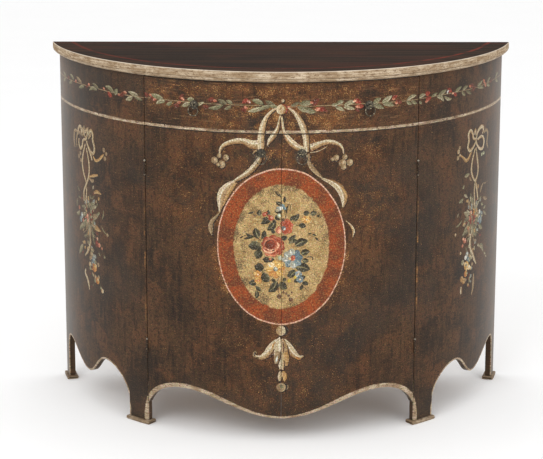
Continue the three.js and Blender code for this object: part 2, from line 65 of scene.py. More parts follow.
# Half of the gap seen between the doors
MEETING = REVEAL * 0.18

SIDES = (("left", -1), ("right", 1))

# Heights of the hinges, half a hinge's height, and each pull's place: along the face, height
HINGES = (("upper", 660.0), ("lower", 206.0))
HINGE_HALF = 18.5
PULLS = (("drawer", 214.0, 827.0), ("door", 48.5, 717.5))

# The medallion: height of its middle, half axes of its outline and of the field in its ring
MEDALLION, OUTLINE, FIELD = 488.5, (157.5, 193.5), (116.0, 154.0)

# Height of the stripe, and places of the two red lines: inside the top's rim, and from its middle
STRIPE, RIM_LINE, BACK_LINE = 768.5, 52.0, 243.0

# Widths of the pale bands: on a side panel's apron, up its front edge, and at places along a door
SIDE_BAND, FRONT_BAND, FRONT_BAND_HIGH = 4.5, 12.0, 78.0
DOOR_BAND_AT, DOOR_BAND = (0, 60, 160, SEAM), (5, 6.5, 10.5, 11.5)

# Trim value of a point that is in no painted band
NO_BAND = 9.0


# Plan

def plan(turn, inset):
    """(x, y) of the plan at an ellipse angle: e - (inset + OVERHANG) n, n the normal at e."""
    turn, inset = np.broadcast_arrays(np.asarray(turn, float), np.asarray(inset, float))
    nx = HALF_DEEP * np.sin(turn)
    ny = -HALF_WIDE * np.cos(turn)
    step = (inset + OVERHANG) / np.hypot(nx, ny)
    return HALF_WIDE * np.sin(turn) - step * nx, CENTRE_Y - HALF_DEEP * np.cos(turn) - step * ny


def run_length(points):
    """Length along a line of points, from its first point: the running sum of the steps."""
    return np.concatenate([[0], np.cumsum(np.hypot(*np.diff(points, axis=0).T))])


TURNS = np.linspace(0.0, math.pi / 2, 6001)
ARCS = run_length(np.stack(plan(TURNS, 0.0), axis=1))


def turn_at(arc):
    """Ellipse angle at a length along the face, signed, zero on the centre line."""
    return np.sign(arc) * np.interp(np.abs(arc), ARCS, TURNS)


def arc_at(turn):
    """Signed length along the face at an ellipse angle."""
    return np.interp(np.abs(turn), TURNS, ARCS) * np.sign(turn)


def back_turn(inset):
    """Ellipse angle where the plan at an inset meets the back plane."""
    inset = np.asarray(inset, float)
    known = np.unique(inset)
    found = np.array([np.interp(BACK_Y, plan(TURNS, i)[1], TURNS) for i in known])
    return found[np.searchsorted(known, inset)]


BACK_ARC = float(arc_at(back_turn(0.0)))


def on_face(arc, height, lift):
    """Points in front of the face: at a length along it, a height, and a distance out of it."""
    x, y = plan(turn_at(arc), -np.asarray(lift, float))
    return np.stack([x, y, np.broadcast_to(height, x.shape)], axis=-1)


# Meshes

def signed_volume(points, faces):
    """Sum over the faces' fans of a . (b x c) / 6."""
    total = 0.0
    for face in faces:
        p = points[np.asarray(face)]
        first = np.broadcast_to(p[0], (len(p) - 2, 3))
        total += np.einsum("ij,ij->", np.cross(p[1:-1], p[2:]), first)
    return total / 6


def piece(name, points, faces, body, material, uv=None, values=None, colours=None,
          replaces=(), sharp=35.0):
    """A mesh object in metres from points in millimetres, riding on a CAD body, faces outwards."""
    points = np.asarray(points, float).reshape(-1, 3)
    faces = [tuple(int(i) for i in face) for face in faces]
    if signed_volume(points, faces) < 0:
        faces = [face[::-1] for face in faces]

    mesh = bpy.data.meshes.new(name)
    mesh.from_pydata((points / 1000).tolist(), [], faces)
    loops = np.empty(len(mesh.loops), int)
    mesh.loops.foreach_get("vertex_index", loops)
    if uv is not None:
        per_loop = np.asarray(uv).reshape(-1, 2)[loops] / 1000
        mesh.uv_layers.new(name="face").data.foreach_set("uv", per_loop.astype(np.float32).ravel())
    for key, value in (values or {}).items():
        data = mesh.attributes.new(key, "FLOAT", "POINT").data
        data.foreach_set("value", np.asarray(value, np.float32).ravel())
    if colours is not None:
        rgba = np.ones((len(points), 4), np.float32)
        rgba[:, :3] = np.asarray(colours).reshape(-1, 3)
        mesh.attributes.new("paint", "FLOAT_COLOR", "POINT").data.foreach_set("color", rgba.ravel())
    mesh.polygons.foreach_set("use_smooth", np.ones(len(mesh.polygons), bool))
    mesh.set_sharp_from_angle(angle=math.radians(sharp))
    mesh.update()
    mesh.materials.append(material)
    made = bpy.data.objects.new(name, mesh)
    bpy.context.scene.collection.objects.link(made)
    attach(made, body)
    if replaces:
        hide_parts(*replaces)


def ring_faces(rings, per_ring, closed=False):
    """Faces that join rings of points: a face over each end, or the last joined to the first."""
    count = rings if closed else rings - 1
    here = np.arange(count)[:, None] * per_ring + np.arange(per_ring)[None, :]
    ahead = here // per_ring * per_ring + (here + 1) % per_ring
    over = per_ring * rings
    quads = [here, ahead, (ahead + per_ring) % over, (here + per_ring) % over]
    faces = np.stack(quads, axis=-1).reshape(-1, 4).tolist()
    if not closed:
        faces.append(list(range(per_ring))[::-1])
        faces.append(list(range((rings - 1) * per_ring, rings * per_ring)))
    return faces


def join(parts):
    """Several (points, faces) as one, each with its faces outwards."""
    points, faces, start = [], [], 0
    for more_points, more_faces in parts:
        more_points = np.asarray(more_points, float).reshape(-1, 3)
        if signed_volume(more_points, more_faces) < 0:
            more_faces = [list(face)[::-1] for face in more_faces]
        points.append(more_points)
        faces += [[i + start for i in face] for face in more_faces]
        start += len(more_points)
    return np.concatenate(points), faces


# Bent boards: a rounded section carried along the face

END_STEPS = 4
EDGE_ROWS = 20.0


def graded(count, near, height):
    """Row heights from 0 to a height: close over the lowest EDGE_ROWS, then even over the rest."""
    height = np.asarray(height, float)[:, None]
    start = np.minimum(EDGE_ROWS, height * 0.9)
    close = np.arange(0, near)[None, :]
    close = np.minimum(close * (EDGE_ROWS / near), height * 0.9 * (close / near))
    rest = np.linspace(0, 1, count - near)[None, :]
    return np.concatenate([close, start + (height - start) * rest], axis=1)


def board_points(arcs, low, high, outer, inner, radius, side=1, to_back=False, slope=None,
                 rows=(26, 12)):
    """Rings of a bent board with quarter rounds of a radius at its edges and ends.

    Arcs are the places of the rings, low and high the board's heights there, outer and inner its
    insets. Returns the points, the faces, each point's (arc, height), and 1 on the outer face.
    """
    arcs = np.asarray(arcs, float)
    low, high = (np.broadcast_to(np.asarray(h, float), arcs.shape) for h in (low, high))
    lift = np.ones_like(arcs) if slope is None else np.asarray(slope, float)
    angles = np.linspace(0, math.pi / 2, END_STEPS + 1)[:-1]
    first = arcs[0] + radius * (1 - np.cos(angles))
    last = arcs[-1] - radius * (1 - np.cos(angles[::-1]))
    shrink_last = radius * (1 - np.sin(angles[::-1]))
    stop = arcs[-1] - radius
    if to_back:
        last, shrink_last, stop = arcs[-1:], np.zeros(1), arcs[-1]
    keep = (arcs > arcs[0] + radius) & (arcs < stop)
    columns = np.concatenate([first, arcs[keep], last])
    shrink = np.concatenate([radius * (1 - np.sin(angles)), np.zeros(keep.sum()), shrink_last])
    low, high = (np.concatenate([np.interp(first, arcs, h), h[keep], np.interp(last, arcs, h)])
                 for h in (low, high))
    lift = np.concatenate([np.ones(len(first)), lift[keep], np.ones(len(last))])
    a, b = outer + shrink, inner - shrink
    corner = radius * lift
    z0, z1 = low + shrink + corner, high - shrink - radius
    bow = np.linspace(0, math.pi / 2, 5)
    turned_in = lambda angle: radius * (1 - math.cos(angle))
    raised = lambda angle: radius * (1 - math.sin(angle))
    section = [(a, row, 1.0) for row in (z0[:, None] + graded(*rows, z1 - z0)).T]
    section += [(a + turned_in(t), z1 + radius * math.sin(t), 1.0) for t in bow[1:]]
    section += [(b - raised(t), z1 + radius * math.cos(t), 0.0) for t in bow]
    section += [(b, z0 + (z1 - z0) * share, 0.0) for share in np.linspace(1, 0, 7)[1:]]
    section += [(b - turned_in(t), z0 - corner * math.sin(t), 0.0) for t in bow[1:]]
    section += [(a + raised(t), z0 - corner * math.cos(t), 1.0) for t in bow[:-1]]
    insets, heights, outside = (
        np.stack([np.broadcast_to(row[k], columns.shape) for row in section], axis=1)
        for k in range(3))
    turns = np.broadcast_to(turn_at(columns)[:, None], insets.shape).copy()
    if to_back:
        foot = arcs[-1] - REAR_FOOT_WIDE
        share = np.clip((columns - foot) / (arcs[-1] - foot), 0, 1)[:, None]
        turns += share * (back_turn(insets) - back_turn(0.0))
    points = np.stack([*plan(side * turns, insets), heights], axis=-1)
    where = np.stack([np.broadcast_to(side * columns[:, None], heights.shape), heights], axis=-1)
    return points, ring_faces(len(columns), len(section)), where, outside


def curve(points, counts):
    """Cubics that share their ends: each is (1-t)^3 a + 3(1-t)^2 t b + 3(1-t) t^2 c + t^3 d."""
    line = []
    for k, count in enumerate(counts):
        t = np.linspace(0, 1, count)[:, None]
        a, b, c, d = (np.array(p, float) for p in points[3 * k:3 * k + 4])
        span = (1 - t) ** 3 * a + 3 * (1 - t) ** 2 * t * b + 3 * (1 - t) * t ** 2 * c + t ** 3 * d
        line.append(span[1 if k else 0:])
    return np.concatenate(line)


def side_edge():
    """Lower edge of a side panel as (arc, height), from the front foot to the rear foot.

    Between the feet run cubics over two arches with a pendant between them. Points on the feet
    stand 1 mm apart in the fine stretches beside the apron, and 2 or 3 mm apart in the rest.
    """
    start, stop = PANEL_START + FOOT_WIDE, BACK_ARC - REAR_FOOT_WIDE
    horn = SIDE_HORN + (SIDE_ARCH - SIDE_HORN) * 0.42
    rear_horn = SIDE_DROP + (SIDE_ARCH - SIDE_DROP) * 0.66
    knots = [
        (0, SIDE_HORN), (0.005, horn), (0.115, SIDE_ARCH), (0.263, SIDE_ARCH),
        (0.37, SIDE_ARCH), (0.41, SIDE_DROP), (0.51, SIDE_DROP),
        (0.64, SIDE_DROP), (0.762, SIDE_ARCH), (0.898, SIDE_ARCH),
        (0.979, SIDE_ARCH), (1, rear_horn), (1, SIDE_DROP),
    ]
    apron = curve([(start + (stop - start) * share, height) for share, height in knots], (26,) * 4)
    fine, rear_fine, step_in = start - 14, BACK_ARC - 32, 0.2
    foot = [np.arange(PANEL_START, fine, 2.0), np.arange(fine, start, 1.0), [start - step_in]]
    rear = [[stop + step_in], np.arange(stop + 1, rear_fine, 1.0),
            np.arange(rear_fine, BACK_ARC, 3.0), [BACK_ARC]]
    flat = lambda arcs: np.stack([arcs, np.full(len(arcs), FOOT_LOW)], axis=1)
    line = np.concatenate([flat(np.concatenate(foot)), apron, flat(np.concatenate(rear))])
    line[:, 0] = np.maximum.accumulate(line[:, 0]) + 1e-4 * np.arange(len(line))
    line[:, 0] *= BACK_ARC / line[-1, 0]
    return line


def door_edge():
    """Lower edge of a door as (arc, height): cubics from the drop over the arch to the horn."""
    horn = DOOR_HORN + (DOOR_ARCH - DOOR_HORN) * 0.61
    knots = [
        (0, DOOR_DROP), (0.265, DOOR_DROP), (0.461, DOOR_ARCH), (0.698, DOOR_ARCH),
        (0.844, DOOR_ARCH), (0.955, horn), (1, DOOR_HORN),
    ]
    line = curve([(SEAM * share, height) for share, height in knots], (60, 50))
    inside = line[(line[:, 0] > MEETING) & (line[:, 0] < FRONT_END)]
    first, last = ([[arc, np.interp(arc, *line.T)]] for arc in (MEETING, FRONT_END))
    return np.concatenate([first, inside, last])


def edge_slope(line):
    """How much a rounded edge grows in height on a steep line: sqrt(1 + slope^2), at most 4."""
    slope = np.gradient(line[:, 1], line[:, 0])
    return np.minimum(np.sqrt(1 + slope ** 2), 4.0)


def trim_share(where, line, width):
    """Distance of each point from an edge line, over the width of the band there: under 1 in it."""
    lengths = run_length(line)
    samples = np.linspace(0, lengths[-1], int(lengths[-1] / 1.5))
    s, z, wide = (np.interp(samples, lengths, known) for known in (line[:, 0], line[:, 1], width))
    flat = where.reshape(-1, 2)
    nearest = [(np.hypot(part[:, :1] - s, part[:, 1:] - z) / wide).min(axis=1)
               for part in np.array_split(flat, len(flat) // 2000 + 1)]
    return np.minimum(np.concatenate(nearest), NO_BAND).reshape(where.shape[:-1])


# Where the dark paint is rubbed through to ochre: arc, height, reach along, reach up, strength
RUBS = [
    (-150, 800, 120, 40, 0.5), (0, 815, 150, 50, 0.8), (140, 800, 110, 40, 0.55),
    (-290, 850, 90, 40, 0.7), (-120, 870, 160, 22, 0.5), (130, 870, 160, 22, 0.6),
    (300, 850, 90, 45, 0.55), (-215, 580, 60, 120, 0.55), (215, 590, 70, 110, 0.6),
    (-150, 400, 60, 90, 0.5), (150, 380, 60, 90, 0.45), (0, 250, 160, 60, 0.5),
    (-60, 130, 120, 70, 0.3), (90, 130, 140, 60, 0.4), (-290, 620, 40, 90, 0.25),
    (300, 560, 40, 110, 0.3), (330, 190, 60, 40, 0.3), (-420, 560, 60, 130, 0.2),
    (420, 800, 60, 50, 0.25), (-420, 800, 80, 50, 0.3), (430, 500, 60, 120, 0.2),
    (10, 722, 130, 45, 0.85), (-110, 700, 90, 40, 0.3), (230, 730, 60, 30, 0.4),
    (-240, 720, 70, 30, 0.25), (0, 30, 80, 60, 0.3),
]


def rub_at(where):
    """Strength of the rubbed ochre: the sum of exp(-(ds/rs)^2 - (dz/rz)^2) over the rubs."""
    total = np.zeros(where.shape[:-1])
    for arc, height, along, up, strength in RUBS:
        ds, dz = (where[..., 0] - arc) / along, (where[..., 1] - height) / up
        total += strength * np.exp(-ds ** 2 - dz ** 2)
    return total


# Shader building

def srgb(r, g, b):
    """Linear colour of 0 to 255 screen values."""
    values = [c / 255 for c in (r, g, b)]
    linear = [c / 12.92 if c <= 0.04045 else ((c + 0.055) / 1.055) ** 2.4 for c in values]
    return (*linear, 1.0)


class Tree:
    """Short calls that add nodes to a node tree and return their outputs."""

    def __init__(self, tree):
        self.tree = tree

    def put(self, value, socket):
        """A link where the value is an output, or else the socket's own constant."""
        if isinstance(value, bpy.types.NodeSocket):
            self.tree.links.new(value, socket)
        elif value is not None:
            socket.default_value = value

    def node(self, kind, inputs=(), **settings):
        made = self.tree.nodes.new(kind)
        for key, value in settings.items():
            setattr(made, key, value)
        for key, value in dict(inputs).items():
            self.put(value, made.inputs[key])
        return made

    def math(self, operation, a, b=None, clamp=False):
        settings = {"operation": operation, "use_clamp": clamp}
        return self.node("ShaderNodeMath", {0: a, 1: b}, **settings).outputs[0]

    def times(self, first, *others, clamp=False):
        """The product of the values."""
        for other in others:
            first = self.math("MULTIPLY", first, other, clamp)
        return first

    def plus(self, a, b):
        return self.math("ADD", a, b)

    def minus(self, a, b, clamp=False):
        return self.math("SUBTRACT", a, b, clamp)

    def away(self, value, place):
        """Distance of a value from a place: |value - place|."""
        return self.math("ABSOLUTE", self.minus(value, place))

    def radius(self, a, b):
        """sqrt(a^2 + b^2)."""
        squares = self.plus(self.math("POWER", a, 2.0), self.math("POWER", b, 2.0))
        return self.math("SQRT", squares)

    def sway(self, noise, amount):
        """Noise brought about zero: (noise - 0.5) * amount."""
        return self.times(self.minus(noise, 0.5), amount)

    def mix(self, share, a, b, mode="MIX"):
        inputs = {0: share, 6: a, 7: b}
        return self.node("ShaderNodeMix", inputs, data_type="RGBA", blend_type=mode).outputs[2]

    def between(self, value, low, high):
        """0 below low and 1 above high, smooth between. High under low turns it round."""
        inputs = {0: value, 1: low, 2: high, 3: 0.0, 4: 1.0}
        made = self.node("ShaderNodeMapRange", inputs, interpolation_type="SMOOTHSTEP")
        return made.outputs[0]

    def tints(self, colour, *rows):
        """Tones over a colour: each row is a value, its ends as in between, a share and a tone."""
        for value, low, high, share, tone in rows:
            mask = self.between(value, low, high)
            colour = self.mix(mask if share == 1 else self.times(mask, share), colour, srgb(*tone))
        return colour

    def noise(self, vector, scale, detail=2.0, rough=0.5, warp=0.0):
        inputs = {"Vector": vector, "Scale": scale, "Detail": detail, "Roughness": rough,
                  "Distortion": warp}
        return self.node("ShaderNodeTexNoise", inputs).outputs[0]

    def grit(self, vector, scale, strength):
        """Noise about white with a little colour in it, to multiply a colour by."""
        inputs = {"Vector": vector, "Scale": scale, "Detail": 2.0, "Roughness": 0.7}
        made = self.node("ShaderNodeTexNoise", inputs)
        both = self.mix(0.35, made.outputs[0], made.outputs["Color"])
        inputs = {0: both, 1: (strength,) * 3, 2: (1 - strength / 2,) * 3}
        return self.node("ShaderNodeVectorMath", inputs, operation="MULTIPLY_ADD").outputs[0]

    def cells(self, vector, scale):
        inputs = {"Vector": vector, "Scale": scale}
        return self.node("ShaderNodeTexVoronoi", inputs).outputs["Distance"]

    def scaled(self, vector, factors):
        inputs = {0: vector, 1: factors}
        return self.node("ShaderNodeVectorMath", inputs, operation="MULTIPLY").outputs[0]

    def moved(self, vector, step):
        return self.node("ShaderNodeVectorMath", {0: vector, 1: step}, operation="ADD").outputs[0]

    def apart(self, vector):
        return self.node("ShaderNodeSeparateXYZ", {0: vector}).outputs

    def stored(self, name, output="Fac"):
        """A value or, from its output Color, a colour stored at the mesh's points."""
        return self.node("ShaderNodeAttribute", attribute_name=name).outputs[output]

    def uv(self):
        return self.node("ShaderNodeUVMap", uv_map="face").outputs[0]

    def place(self):
        return self.node("ShaderNodeTexCoord").outputs["Object"]

    def bump(self, height, strength, distance):
        inputs = {"Height": height, "Strength": strength, "Distance": distance}
        return self.node("ShaderNodeBump", inputs).outputs[0]

    def group(self, tree, vector):
        return self.node("ShaderNodeGroup", {"Vector": vector}, node_tree=tree).outputs

    def surface(self, colour, rough, normal=None, metal=0.0, gloss=0.5, dust=0.0):
        """The shader and the output. Gloss is the specular level, dust the pale sheen edge-on."""
        inputs = {
            "Base Color": colour, "Roughness": rough, "Metallic": metal, "Normal": normal,
            "Specular IOR Level": gloss, "Sheen Weight": dust, "Sheen Roughness": 0.3,
            "Sheen Tint": (1.0, 0.95, 0.88, 1.0),
        }
        shader = self.node("ShaderNodeBsdfPrincipled", inputs)
        self.put(shader.outputs[0], self.node("ShaderNodeOutputMaterial").inputs[0])


def new_material(name):
    """An empty material and the builder of its nodes."""
    made = bpy.data.materials.new(name)
    made.use_nodes = True
    made.node_tree.nodes.clear()
    return made, Tree(made.node_tree)


def new_group(name):
    """A node group from a vector to a colour and a bump height: its builder and its vector."""
    tree = bpy.data.node_groups.new(name, "ShaderNodeTree")
    tree.interface.new_socket("Vector", in_out="INPUT", socket_type="NodeSocketVector")
    tree.interface.new_socket("Color", in_out="OUTPUT", socket_type="NodeSocketColor")
    tree.interface.new_socket("Height", in_out="OUTPUT", socket_type="NodeSocketFloat")
    t = Tree(tree)
    return t, t.node("NodeGroupInput").outputs["Vector"]


def ivory_group():
    """Worn ivory paint: yellowed patches, long brush marks and brown speckle."""
    t, v = new_group("ivory_paint")
    fine = t.noise(v, 330, 3, 0.7)
    marks = t.noise(t.scaled(v, (16, 230, 1)), 1.0, 4, 0.7)
    pale = t.tints(
        srgb(184, 165, 139),
        (t.noise(v, 38, 3, 0.6), 0.38, 0.62, 1, (148, 126, 99)),
        (fine, 0.5, 0.64, 1, (132, 108, 83)),
        (marks, 0.5, 0.6, 0.7, (132, 110, 86)),
        (marks, 0.46, 0.38, 0.6, (204, 188, 166)))
    spots = t.noise(t.scaled(t.moved(v, (3.1, 1.7, 0.4)), (0.4, 1, 1)), 190, 4, 0.72)
    brown = t.times(t.between(spots, 0.54, 0.62), 0.8)
    height = t.minus(t.times(fine, 0.4), t.times(brown, 0.5))
    t.node("NodeGroupOutput", {"Color": t.mix(brown, pale, srgb(100, 76, 56)), "Height": height})
    return t.tree


def wood_group():
    """Plain wood: grain lines along the vector's X, slow colour changes across it, and stains."""
    t, v = new_group("plain_wood")
    lines = t.noise(t.scaled(v, (6, 260, 260)), 1.0, 3, 0.6, 0.3)
    colour = t.tints(
        srgb(150, 118, 82),
        (t.noise(t.scaled(v, (1.2, 14, 14)), 1.0, 4, 0.6, 1.2), 0.3, 0.7, 1, (116, 86, 57)),
        (lines, 0.45, 0.75, 1, (84, 60, 40)),
        (t.noise(v, 5, 3, 0.6), 0.52, 0.75, 1, (78, 60, 44)))
    t.node("NodeGroupOutput", {"Color": colour, "Height": lines})
    return t.tree


IVORY = ivory_group()
WOOD = wood_group()

# Sheen of the dusty matt paint, and how far beside a seam its paint is chipped
DUST, CHIPS_IN = 0.4, 3.5


def ground_material():
    """The dark body paint and what is painted on it in flat colour: stripe, bands, medallion."""
    material, t = new_material("dark_painted_wood")
    v = t.uv()
    arc, height, _ = t.apart(v)
    across = t.math("ABSOLUTE", arc)
    ivory = t.group(IVORY, v)["Color"]

    # distances from the medallion's middle: 1 on its outline, or on the rim of its field
    from_middle = t.minus(height, MEDALLION / 1000)
    oval = lambda axes: t.radius(t.math("DIVIDE", arc, axes[0] / 1000),
                                 t.math("DIVIDE", from_middle, axes[1] / 1000))
    hand = t.sway(t.noise(v, 14, 2, 0.5), 0.035)
    outer = t.plus(oval(OUTLINE), hand)

    # dark ground: clouds, upright and level brush marks, mottle
    cloud = t.noise(v, 7, 5, 0.62)
    streak = t.noise(t.scaled(v, (95, 13, 1)), 1.0, 4, 0.65)
    fine = t.noise(v, 420, 2, 0.6)
    colour = t.tints(
        srgb(41, 32, 25),
        (cloud, 0.38, 0.62, 1, (73, 52, 35)),
        (t.noise(t.moved(v, (5.3, 2.2, 0)), 11, 4, 0.6), 0.49, 0.62, 0.7, (89, 59, 38)),
        (streak, 0.5, 0.7, 0.6, (84, 61, 42)),
        (streak, 0.48, 0.34, 0.8, (38, 30, 24)),
        (t.noise(t.scaled(v, (40, 260, 1)), 1.0, 3, 0.6), 0.54, 0.68, 0.5, (84, 62, 43)),
        (t.noise(v, 120, 4, 0.7), 0.52, 0.6, 0.7, (36, 29, 24)))

    # rubbed through to ochre in the stored places and round the medallion, dull grey elsewhere
    rub = t.times(t.stored("rub"), t.between(t.noise(v, 26, 5, 0.7), 0.36, 0.62))
    halo = t.times(t.between(outer, 1.16, 1.0), t.between(t.noise(v, 16, 4, 0.65), 0.45, 0.62))
    rub = t.plus(rub, t.times(halo, 0.75))
    colour = t.mix(t.times(rub, 0.5, clamp=True), colour, srgb(110, 63, 31))
    unrubbed = t.minus(1.0, rub, clamp=True)
    drift = t.between(t.noise(t.moved(v, (1.3, 8.1, 0)), 3.4, 3, 0.5), 0.48, 0.6)
    colour = t.mix(t.times(drift, unrubbed, 0.5), colour, srgb(52, 46, 40))

    # ochre flecks, closer together where the paint is rubbed
    cut = t.minus(0.642, t.times(rub, 0.155))
    flecks = t.minus(t.noise(t.moved(v, (9.1, 4.4, 0)), 300, 3, 0.8), cut)
    fleck_tone = t.tints(srgb(124, 82, 42), (t.noise(v, 60, 3, 0.6), 0.4, 0.6, 1, (190, 146, 92)))
    colour = t.mix(t.times(t.between(flecks, 0.0, 0.05), 0.78), colour, fleck_tone)

    # pale brush marks on the drawer
    brushed = t.noise(t.scaled(t.moved(v, (6.2, 3.3, 0)), (18, 240, 1)), 1.0, 4, 0.7)
    on_drawer = t.times(t.between(height, 0.768, 0.78), t.between(across, 0.42, 0.3))
    colour = t.tints(
        colour,
        (brushed, 0.55, 0.66, t.times(on_drawer, 0.4), (146, 110, 76)),
        (fine, 0.58, 0.68, 0.38, (120, 88, 57)))

    # paint chipped off on the side panels, a little beside their seams
    chipped = t.times(
        t.between(t.away(across, (PANEL_START + CHIPS_IN) / 1000), 0.0035, 0.001),
        t.between(t.noise(v, 130, 3, 0.7), 0.42, 0.55),
        t.between(height, 0.24, 0.34), t.between(height, 0.62, 0.5),
        t.between(t.noise(v, 24, 2, 0.6), 0.42, 0.6), 0.6)
    colour = t.mix(chipped, colour, srgb(160, 114, 66))

    # round the pulls: a painted shadow of the hanging ring on the drawer front, grey tarnish on the
    # doors; each is (how far below, outside and inside radius, noise, its ends, share, tone)
    painted_ring_shadow = (10.5, 0.023, 0.012, 110, 0.3, 0.58, 0.7, (38, 31, 25))
    tarnish = (9.5, 0.024, 0.012, 90, 0.34, 0.6, 0.45, (78, 76, 72))
    for (_, pull_arc, pull_height), mark in zip(PULLS, (painted_ring_shadow, tarnish)):
        below, outside, inside, scale, low, high, share, tone = mark
        away = t.radius(t.minus(across, pull_arc / 1000),
                        t.minus(height, (pull_height - below) / 1000))
        share = t.times(t.between(away, outside, inside), share)
        colour = t.tints(colour, (t.noise(v, scale, 4, 0.7), low, high, share, tone))

    # stripe under the drawer and round the side panels, drawn unevenly and faint in stretches
    drawn = t.sway(t.noise(t.scaled(v, (30, 400, 1)), 1.0, 4, 0.7), 0.005)
    faint = t.times(t.between(t.noise(t.moved(v, (2.4, 6.6, 0)), 7, 3, 0.6), 0.46, 0.6), 0.35)
    stripe = t.times(
        t.between(t.away(t.plus(height, drawn), STRIPE / 1000), 0.004, 0.0028),
        t.between(t.noise(v, 90, 4, 0.7), 0.34, 0.46), t.minus(1.0, faint))
    colour = t.mix(stripe, colour, ivory)

    # bands along the shaped edges
    ragged = t.plus(t.stored("trim"), t.sway(t.noise(v, 160, 3, 0.6), 0.36))
    colour = t.mix(t.times(t.between(ragged, 1.08, 0.92), 0.96), colour, ivory)

    # medallion: outline, red ring, and a field that is scuffed towards its rim and its left
    ring = t.tints(
        srgb(138, 64, 33),
        (t.noise(v, 22, 4, 0.6), 0.38, 0.62, 1, (98, 52, 34)),
        (t.noise(v, 270, 4, 0.75), 0.54, 0.61, 0.8, (160, 120, 72)),
        (t.noise(t.moved(v, (1, 7, 0)), 170, 4, 0.75), 0.52, 0.6, 0.75, (82, 46, 32)))
    in_field = oval(FIELD)
    leftward = t.times(t.between(arc, 0.01, -0.08), 0.4)
    uneven = t.times(t.between(t.noise(v, 34, 3, 0.6), 0.36, 0.62), 1.25)
    scuffed = t.times(t.plus(t.between(in_field, 0.62, 0.98), leftward), uneven)
    scuffs = t.minus(t.noise(t.scaled(v, (430, 260, 1)), 1.0, 3, 0.7),
                     t.minus(0.62, t.times(scuffed, 0.13)))
    field = t.tints(
        srgb(180, 150, 101),
        (t.noise(v, 24, 4, 0.6), 0.35, 0.65, 1, (149, 119, 75)),
        (t.noise(t.moved(v, (4, 1, 0)), 150, 4, 0.7), 0.52, 0.64, 0.7, (204, 182, 134)),
        (t.noise(v, 270, 3, 0.8), 0.52, 0.58, 0.65, (116, 96, 66)),
        (scuffs, 0.0, 0.04, 0.85, (86, 71, 52)))
    outline = t.tints(
        srgb(206, 166, 140), (t.noise(v, 190, 3, 0.7), 0.45, 0.6, 1, (150, 104, 80)))
    field_edge = t.plus(t.plus(in_field, hand), t.sway(t.noise(v, 70, 4, 0.7), 0.1))
    colour = t.mix(t.between(outer, 1.003, 0.997), colour, outline)
    colour = t.mix(t.between(outer, 0.986, 0.978), colour, ring)
    colour = t.mix(t.between(field_edge, 1.01, 0.98), colour, field)
    colour = t.mix(1.0, colour, t.grit(v, 360, 2.6), "MULTIPLY")

    # bare board behind and under the painted face
    bare = t.tints(
        srgb(74, 57, 42),
        (t.noise(t.scaled(v, (260, 5, 1)), 1.0, 4, 0.65), 0.4, 0.7, 1, (52, 41, 32)),
        (t.noise(v, 6, 4, 0.6), 0.45, 0.65, 0.5, (88, 68, 50)))
    colour = t.mix(t.stored("outer"), bare, colour)
    relief = t.plus(t.times(fine, 0.5), t.times(streak, 0.6))
    rough = t.plus(t.times(cloud, 0.2), 0.42)
    t.surface(colour, rough, t.bump(relief, 0.25, 0.0006), gloss=0.12, dust=DUST)
    return material


def ivory_material():
    """Ivory paint, browned by a stored share: painted shade on the moulding, even on the pads."""
    material, t = new_material("worn_ivory_paint")
    v = t.uv()
    ivory = t.group(IVORY, v)
    # painted shade: a brown tone laid over the ivory by the stored share
    shade_and_dirt_tint = (t.noise(v, 80, 3, 0.6), 0.2, 0.7, t.stored("shade_and_dirt"), (74, 58, 45))
    t.surface(t.tints(ivory["Color"], shade_and_dirt_tint), 0.55, t.bump(ivory["Height"], 0.3, 0.0006), gloss=0.15)
    return material


def top_material():
    """The dark top with its red lines, and the ivory paint of its edge."""
    material, t = new_material("dark_painted_top")
    place = t.place()
    x, y, _ = t.apart(place)
    grain = t.noise(t.scaled(place, (9, 190, 1)), 1.0, 4, 0.65, 0.3)
    broad = t.noise(t.scaled(t.moved(place, (1.7, 4.2, 0)), (1.6, 60, 1)), 1.0, 4, 0.6)
    colour = t.tints(
        srgb(29, 21, 15),
        (grain, 0.42, 0.6, 1, (54, 39, 27)),
        (broad, 0.48, 0.64, 0.5, (80, 52, 36)),
        (broad, 0.5, 0.36, 0.5, (18, 13, 10)),
        (t.noise(t.scaled(place, (2.5, 9, 1)), 1.0, 4, 0.6), 0.48, 0.6, 0.5, (72, 40, 27)),
        (t.noise(place, 380, 2, 0.6), 0.6, 0.72, 0.4, (104, 82, 64)))

    # red lines inside the rim and near the back, clearer towards the right
    rim = t.stored("rim")
    waver = t.sway(t.noise(place, 9, 3, 0.6), 0.008)
    rim_line = t.between(t.away(t.plus(rim, waver), RIM_LINE / 1000), 0.0065, 0.003)
    back_line = t.between(t.away(t.plus(y, waver), BACK_LINE / 1000), 0.0042, 0.0012)
    red = t.math("MAXIMUM", rim_line, t.times(back_line, 0.8))
    rightward = t.plus(t.times(t.between(x, 0.1, 0.45), 0.4), 0.55)
    worn = t.between(t.noise(place, 22, 4, 0.7), 0.3, 0.56)
    colour = t.mix(t.times(red, worn, rightward), colour, srgb(116, 46, 31))
    colour = t.tints(
        colour,
        (rim, 0.045, RIM_LINE / 1000, 0.15, (30, 24, 22)),
        (t.cells(t.scaled(place, (5, 60, 1)), 1.0), 0.028, 0.012, 0.5, (150, 140, 130)))

    # painted edge, paler along its upper round
    painted = t.plus(t.stored("edge"), t.sway(t.noise(place, 210, 3, 0.6), 0.5))
    ivory = t.group(IVORY, t.uv())["Color"]
    colour = t.mix(t.between(painted, 0.4, 0.6), colour, ivory)
    colour = t.mix(t.times(t.stored("arris"), 0.5), colour, srgb(226, 214, 196))
    rough = t.plus(t.times(grain, 0.2), 0.42)
    t.surface(colour, rough, t.bump(grain, 0.2, 0.0005), gloss=0.006)
    return material


